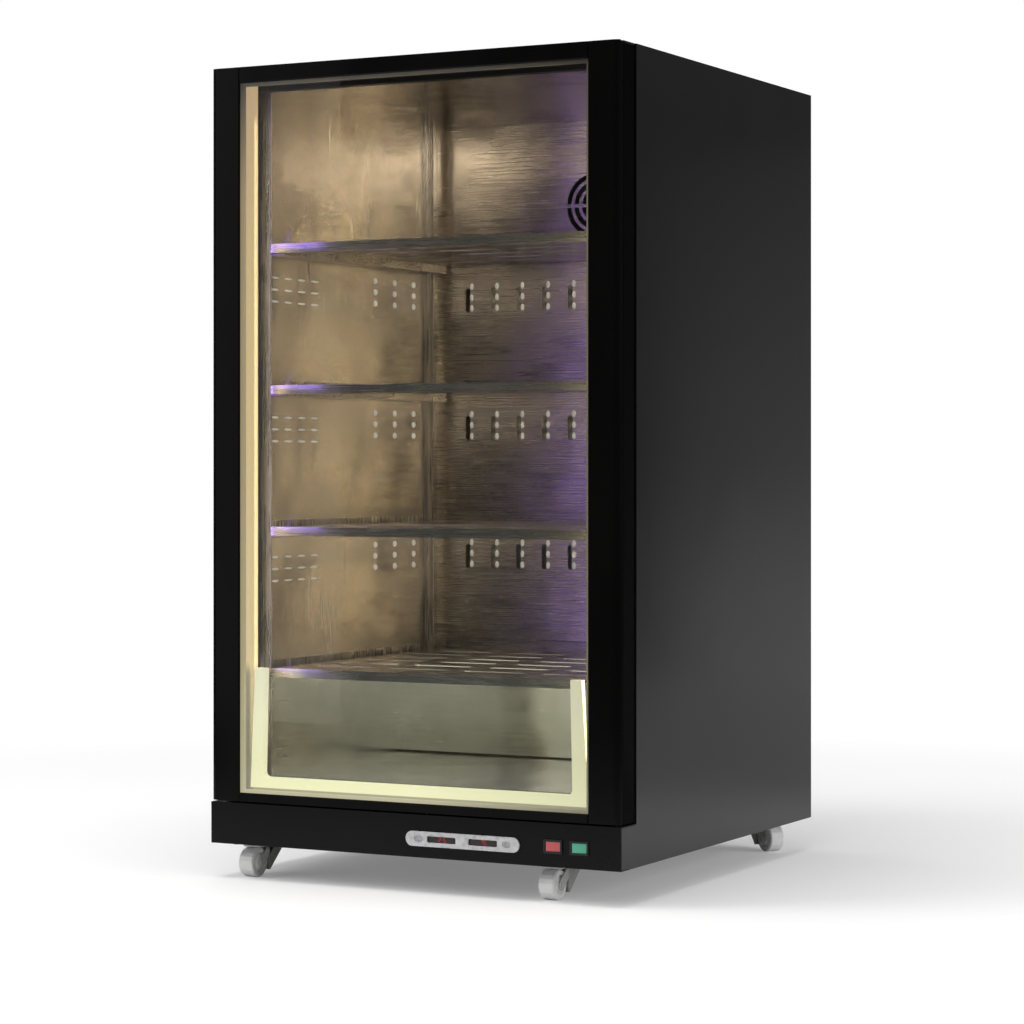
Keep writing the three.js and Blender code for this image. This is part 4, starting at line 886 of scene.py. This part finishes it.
def lamp(name, place, target, size, power, color=WHITE, in_gloss=True):
    """A soft rectangular lamp that faces the target and isn't seen itself."""
    data = bpy.data.lights.new(name, "AREA")
    data.shape = "RECTANGLE"
    data.size, data.size_y = size
    data.energy = power
    data.color = color
    light = bpy.data.objects.new(name, data)
    bpy.context.collection.objects.link(light)
    light.location = place
    aim = Vector(target) - Vector(place)
    light.rotation_euler = aim.to_track_quat("-Z", "Y").to_euler()
    light.visible_camera = False
    light.visible_transmission = False
    light.visible_glossy = in_gloss
    return light


def studio_lamps():
    middle, low_middle = (0, 0, 0.5), (0, 0, 0.3)
    lamp("top_lamp", (-0.3, -0.6, 3.2), middle, size=(2.2, 2.2), power=60, in_gloss=False)
    lamp("left_lamp", (-2.6, -2.2, 1.8), middle, size=(1.6, 2.2), power=50, in_gloss=False)
    lamp("right_lamp", (2.6, 0.4, 0.7), low_middle, size=(1.6, 1.2), power=30, in_gloss=False)


def reveal_lamps():
    """Light that the bars throw inwards from both sides of the door."""
    low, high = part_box("light_bar_left")
    right_low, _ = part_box("light_bar_right")
    middle = (low + high) / 2
    clear = 1 * MM
    strip = (0.02, 0.9 * (high.z - low.z))
    left, right = (high.x + clear, middle.y, middle.z), (right_low.x - clear, middle.y, middle.z)
    to_right, to_left = (0.3, 0.3, middle.z), (-0.3, 0.3, middle.z)
    lamp("left_reveal_glow", left, to_right, strip, power=1.75, color=WARM, in_gloss=False)
    shine = lamp("left_reveal_shine", left, to_right, strip, power=0.6, color=WARM)
    shine.visible_diffuse = False
    lamp("right_reveal_glow", right, to_left, strip, power=1.25, color=WARM)


def foot_lamps():
    """Light that the lower frame throws over the floor of the lowest compartment."""
    low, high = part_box("lower_light_frame")
    lamp("foot_glow", (0, high.y + 2 * MM, low.z + 60 * MM), (0, 0.3, low.z + 70 * MM),
         size=(0.44, 0.1), power=0.09, color=FOOT_WHITE)
    lamp("floor_glow", (0, -0.215, low.z + 135 * MM), (0, 0.0, low.z + 14 * MM),
         size=(0.44, 0.04), power=0.13, color=FOOT_WHITE)


def level_lamps():
    """Soft light under the ceiling and under the shelves."""
    low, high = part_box("inner_liner")
    lamp("ceiling_glow", (0.05, low.y + 60 * MM, high.z - 6 * MM), (0.05, 0.1, 0.6),
         size=(0.42, 0.03), power=0.36, color=CEILING_WARM)
    for level in STUDDED_SHELVES:
        low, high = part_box(f"shelf_{level}")
        under = low.z - 4 * MM
        lamp(f"level_glow_{level}", (0, low.y + 70 * MM, under), (0, high.y, under - 60 * MM),
             size=(0.42, 0.02), power=0.04, color=SHELF_WARM)


def violet_lamps():
    """Light of the tube, and of its glow on the shelves' left front corners."""
    low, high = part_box("violet_lamp")
    middle = (low.z + high.z) / 2
    lamp("violet_glow", (high.x + 2 * MM, -0.262, middle), (0.2, -0.1, middle),
         size=(0.006, high.z - low.z), power=0.06, color=VIOLET)
    for level in (1, 2, 3, 4):
        low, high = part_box(f"shelf_{level}")
        edge = high.z - 14 * MM
        lamp(f"violet_edge_glow_{level}", (low.x + 30 * MM, low.y - 32 * MM, edge + 6 * MM),
             (low.x + 50 * MM, low.y, edge - 4 * MM), size=(0.07, 0.02), power=0.009, color=VIOLET)


studio_floor()
surroundings(above=0.5, horizon=0.035)
screens()
studio_lamps()
reveal_lamps()
foot_lamps()
level_lamps()
violet_lamps()

bpy.context.scene.view_settings.view_transform = "Standard"
